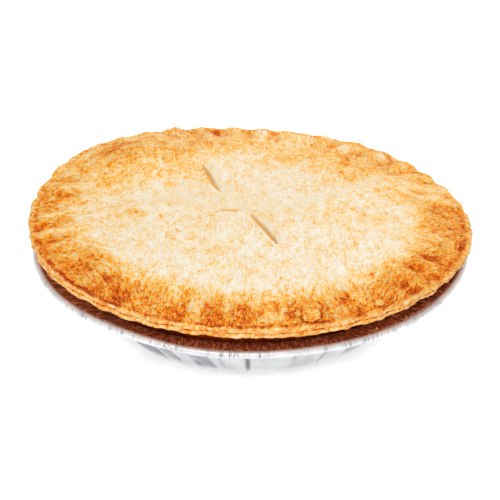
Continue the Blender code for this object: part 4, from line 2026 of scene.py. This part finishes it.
@dataclass(frozen=True)
class VentJuice(Piece):
    """Thickened juice that stands in the vents."""

    name = "vent_juice"
    dough: Dough
    rows: int = 70
    sides: int = 8
    reach_share: float = 0.46
    width_share: float = 0.75
    thin_share: float = 0.4
    thickness: float = 0.3 * MM
    least_end: float = 0.15
    ripple: Grain = Grain(3.0 * MM, 0.12 * MM)
    browning: float = 0.2

    def ribbon(self, vent: Vent) -> Surface:
        """Closed lens-shaped ribbon along one vent.

        Its section is a flat ellipse; its half width falls to nothing at
        both ends as the vent's does.

        Args:
            vent: The vent.

        Returns:
            The ribbon.
        """
        form, turn = self.dough.form, math.radians(vent.direction)
        along = np.linspace(-self.reach_share, self.reach_share, self.rows) * vent.length
        end, bend = vent.closing(along), vent.bowed(along)
        x = vent.x + along * math.cos(turn) - bend * math.sin(turn)
        y = vent.y + along * math.sin(turn) + bend * math.cos(turn)
        level = form.plain_lid(x, y) - form.vent_depth * end * (1.0 - vent.filled)
        level += self.dough.noise.of(self.ripple, np.column_stack([x, y, level]))
        section = circle_of(np.arange(self.sides) * FULL_TURN / self.sides)
        half = form.vent_width / 2.0 * end * self.width_share
        half = half * between((self.thin_share, 1.0), vent.filled)
        across = section[:, 0] * half[:, None]
        up = section[:, 1] * (self.thickness * np.maximum(end, self.least_end))[:, None]
        sideways = [x[:, None] - across * math.sin(turn), y[:, None] + across * math.cos(turn)]
        points = np.stack([*sideways, level[:, None] + up], axis=2).reshape(-1, 3)
        numbers = np.arange(self.rows * self.sides).reshape(self.rows, self.sides)
        ends = [
            [[ring[0], ring[k], ring[k + 1]] for k in range(1, self.sides - 1)]
            for ring in (numbers[0][::-1], numbers[-1])
        ]
        toast = np.repeat(vent.toasted + self.browning * along / vent.length, self.sides)
        quads = ring_quads(numbers[::-1])
        return Surface(points, quads, np.concatenate(ends), {"toast": toast})

    def surface(self) -> Surface:
        """Ribbons of all the vents that juice stands in, as one surface."""
        filled = [vent for vent in self.dough.form.vents if vent.filled > 0.0]
        return Surface.joined([self.ribbon(vent) for vent in filled])


class Flake(NamedTuple):
    """A loose curled flake of dough: place, sizes and lift in millimetres, turn in degrees."""

    x: float
    y: float
    length: float
    width: float
    turn: float
    lift: float
    curl: float


@dataclass(frozen=True)
class CurledFlakes(Piece):
    """Curled flakes of dough on the lid and its edge."""

    name = "curled_flakes"
    dough: Dough
    flakes: tuple[Flake, ...] = (
        Flake(28.5, -104.0, 9.6, 12.5, -20.0, 1.3, 0.5),
        Flake(61.0, -89.5, 6.0, 4.4, -30.0, 0.6, 1.2),
        Flake(-28.0, -104.0, 3.4, 2.6, 15.0, 0.4, 0.6),
        Flake(-88.0, -68.0, 3.0, 2.2, 50.0, 0.4, 0.5),
        Flake(76.0, 79.0, 3.6, 2.6, 40.0, 0.5, 0.9),
    )
    section: tuple[tuple[float, float], ...] = (
        (0.0, 0.5), (0.25, 0.5), (0.5, 0.5), (0.75, 0.48), (0.92, 0.36), (1.0, 0.0),
        (0.92, -0.36), (0.6, -0.5), (0.0, -0.5),
    )
    spokes: int = 44
    thickness: float = 0.55 * MM
    outline: Grain = Grain(0.5, 0.14, 0.3, 3, 0.6, (0.5, 0.5, 0.5))
    curl_direction: float = 0.6
    curl_rise: Span = Span(-0.5, 1.0)
    ripple: Grain = Grain(4.0 * MM, 0.12 * MM, 0.0, 2)
    toast: float = 0.54
    rim_browning: float = 0.40
    rim_sharpness: int = 10
    freckles: Grain = Grain(3.0 * MM, 0.12, 0.2)

    def flake(self, flake: Flake) -> Surface:
        """One flake as a closed thin plate.

        A disc of rings and spokes gets a ragged outline and is bent up at
        its right and back. Its upper and lower skin meet at the rim.

        Args:
            flake: Its sizes.

        Returns:
            The plate.
        """
        noise = self.dough.noise
        grid = TurnedGrid.carried(np.array(self.section), self.spokes)
        outline = circle_of(grid.angle)
        outline[:, 2] = flake.turn
        reach = grid.radius * (1.0 + noise.of(self.outline, outline))
        along = reach * np.cos(grid.angle) * flake.length / 2.0 * MM
        across = reach * np.sin(grid.angle) * flake.width / 2.0 * MM
        turn = math.radians(flake.turn)
        x = flake.x * MM + along * math.cos(turn) - across * math.sin(turn)
        y = flake.y * MM + along * math.sin(turn) + across * math.cos(turn)
        flat = np.column_stack([x, y, np.zeros_like(x)])
        raised = self.curl_rise.at(grid.radius * np.cos(grid.angle - self.curl_direction)) ** 2
        height = self.dough.form.plain_lid(x, y) + grid.height * self.thickness
        height += (flake.lift + flake.curl * raised) * MM + noise.of(self.ripple, flat)
        points = np.column_stack([x, y, height])
        toast = self.toast + self.rim_browning * grid.radius**self.rim_sharpness
        toast += noise.of(self.freckles, flat)
        fields = self.dough.kept_fields(points, toast, np.zeros_like(toast))
        return Surface(points, grid.quads, grid.triangles, fields)

    def surface(self) -> Surface:
        """All the flakes as one surface."""
        return Surface.joined([self.flake(flake) for flake in self.flakes])


@dataclass(frozen=True)
class Crumbs(Piece):
    """Loose crumbs on the lid and the flange. Pairs are the ends of a random range."""

    name = "crumbs"
    dough: Dough
    pan: FoilPan
    lid_count: int = 90
    flange_count: int = 34
    lid_shares: tuple[float, float] = (0.2, 0.97)
    flange_radii: tuple[float, float] = (106.0 * MM, 109.5 * MM)
    least_size: float = 0.16 * MM
    more_size: float = 0.40 * MM
    size_power: float = 2.5
    sunk: float = 0.35
    section: tuple[tuple[float, float], ...] = (
        (0.0, 1.0), (0.72, 0.7), (1.0, 0.0), (0.7, -0.72), (0.0, -1.0),
    )
    spokes: int = 7
    lumpiness: float = 0.5
    stretches: tuple[float, float] = (0.6, 1.4)
    toasts: tuple[float, float] = (0.05, 0.55)
    seed: int = 23

    def surface(self) -> Surface:
        """All crumbs at once, each a small lumpy ball of rings and spokes.

        Returns:
            The crumbs.
        """
        draw = np.random.default_rng(self.seed)
        count = self.lid_count + self.flange_count
        on_lid = np.arange(count) < self.lid_count
        turns = draw.uniform(0.0, FULL_TURN, count)
        on_lid_reach = np.sqrt(draw.uniform(*self.lid_shares, count)) * self.dough.form.edge_radius
        reach = np.where(on_lid, on_lid_reach, draw.uniform(*self.flange_radii, count))
        size = self.least_size + self.more_size * draw.random(count) ** self.size_power
        x, y = reach * np.cos(turns), reach * np.sin(turns)
        lid, flange = self.dough.lid_height(x, y), self.pan.flange_top(turns, reach)
        middles = np.column_stack([x, y, np.where(on_lid, lid, flange) + size * self.sunk])

        grid = TurnedGrid.carried(np.array(self.section), self.spokes)
        ball = grid.points(grid.radius, grid.height)
        lumps = 1.0 + self.lumpiness * (draw.random((count, len(ball), 1)) - 0.5)
        stretch = draw.uniform(*self.stretches, (count, 1, 3))
        points = middles[:, None] + ball * lumps * stretch * size[:, None, None]
        points = points.reshape(-1, 3)
        starts = np.arange(count)[:, None, None] * len(ball)
        toast = np.repeat(draw.uniform(*self.toasts, count), len(ball))
        return Surface(
            points,
            (grid.quads + starts).reshape(-1, 4),
            (grid.triangles + starts).reshape(-1, 3),
            self.dough.kept_fields(points, toast, np.zeros_like(toast)),
        )


# ---------------------------------------------------------------- the studio


class Panel(NamedTuple):
    """A square soft light that faces the pie: name, place, side and power in watts."""

    name: str
    place: tuple[float, float, float]
    size: float
    power: float


@dataclass(frozen=True)
class Studio:
    """Pale ground, soft light and the camera."""

    ground_reach: float = 4.0
    ground_rows: int = 41
    ground_rise: float = 0.6
    ground_slope: Span = Span(2.5, 4.0)
    camera_rise: float = 28.5
    camera_distance: float = 1.0
    focal_length: float = 137.9
    sensor: float = 36.0
    nearest: float = 0.05
    farthest: float = 20.0
    target: tuple[float, float, float] = (-0.0003, 0.0, 0.0292)
    sky: float = 0.59
    horizon: float = 1.15
    sky_fade: Span = Span(0.10, 0.70)
    panels: tuple[Panel, ...] = (
        Panel("key_panel", (0.42, 0.75, 1.00), 0.50, 6.0),
        Panel("front_panel", (-0.20, -0.95, 0.80), 0.70, 5.4),
    )

    def ground(self) -> None:
        """Lay the ground: a grid that rises gently far behind the pie."""
        line = np.linspace(-self.ground_reach, self.ground_reach, self.ground_rows)
        x, y = (part.ravel() for part in np.meshgrid(line, line, indexing="xy"))
        points = np.column_stack([x, y, self.ground_rise * self.ground_slope.at(y) ** 2])
        quads = grid_quads(self.ground_rows, self.ground_rows)
        ground = Surface(points, quads, np.zeros((0, 3), int), {}).put("ground")
        ground.data.materials.append(GroundFinish().material())

    def light(self) -> None:
        """Light the scene from a sky that dims upwards and from soft panels."""
        world = bpy.data.worlds.new("white_sky")
        bpy.context.scene.world = world
        sheet = NodeSheet(world)
        where = sheet.add("ShaderNodeTexCoord", {}, {}, "Generated")
        height = sheet.add("ShaderNodeSeparateXYZ", {}, {0: where}, "Z")
        fade = height.rise(*self.sky_fade) * (1.0 - self.horizon) + self.horizon
        sheet.finish("Background", {"Color": fade, "Strength": self.sky})
        for panel in self.panels:
            self.hang(panel)

    def hang(self, panel: Panel) -> None:
        """Hang one panel so that it faces the middle of the pie."""
        data = bpy.data.lights.new(panel.name, "AREA")
        data.size = panel.size
        data.energy = panel.power
        lamp = bpy.data.objects.new(panel.name, data)
        lamp.location = panel.place
        x, y, z = panel.place
        tip, turn = math.atan2(math.hypot(x, y), z), math.atan2(y, x) + math.pi / 2.0
        lamp.rotation_euler = (tip, 0.0, turn)
        bpy.context.scene.collection.objects.link(lamp)

    def camera(self) -> None:
        """Set the camera at the photograph's viewing angle."""
        data = bpy.data.cameras.new("camera")
        data.lens = self.focal_length
        data.sensor_width = self.sensor
        data.clip_start = self.nearest
        data.clip_end = self.farthest
        eye = bpy.data.objects.new("camera", data)
        rise = math.radians(self.camera_rise)
        away = (0.0, -math.cos(rise), math.sin(rise))
        eye.location = [at + self.camera_distance * part for at, part in zip(self.target, away)]
        eye.rotation_euler = (math.pi / 2.0 - rise, 0.0, 0.0)
        bpy.context.scene.collection.objects.link(eye)
        bpy.context.scene.camera = eye

    def build(self) -> None:
        """Put up the ground, the lights and the camera."""
        self.ground()
        self.light()
        self.camera()
        bpy.context.scene.view_settings.view_transform = "Standard"
        bpy.context.scene.view_settings.look = "None"


def corners(box: Sequence[Sequence[float]]) -> list[list[float]]:
    """Lowest and highest corner of a box as plain lists of numbers."""
    return [[float(value) for value in corner] for corner in box]


def main() -> None:
    """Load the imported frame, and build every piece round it."""
    logging.basicConfig(level=logging.INFO, format="%(message)s")
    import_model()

    dough, pan = Dough(PieForm(), Noise(DOUGH_SEED)), FoilPan()
    crust = CrustFinish().material()
    TopCrust(dough).build(crust)
    BottomCrust(dough, pan).build(crust)
    pan.build(FoilFinish().material())
    VentJuice(dough).build(JuiceFinish().material())
    CurledFlakes(dough).build(crust)
    Crumbs(dough, pan).build(crust)
    Studio().build()


if __name__ == "__main__":
    main()
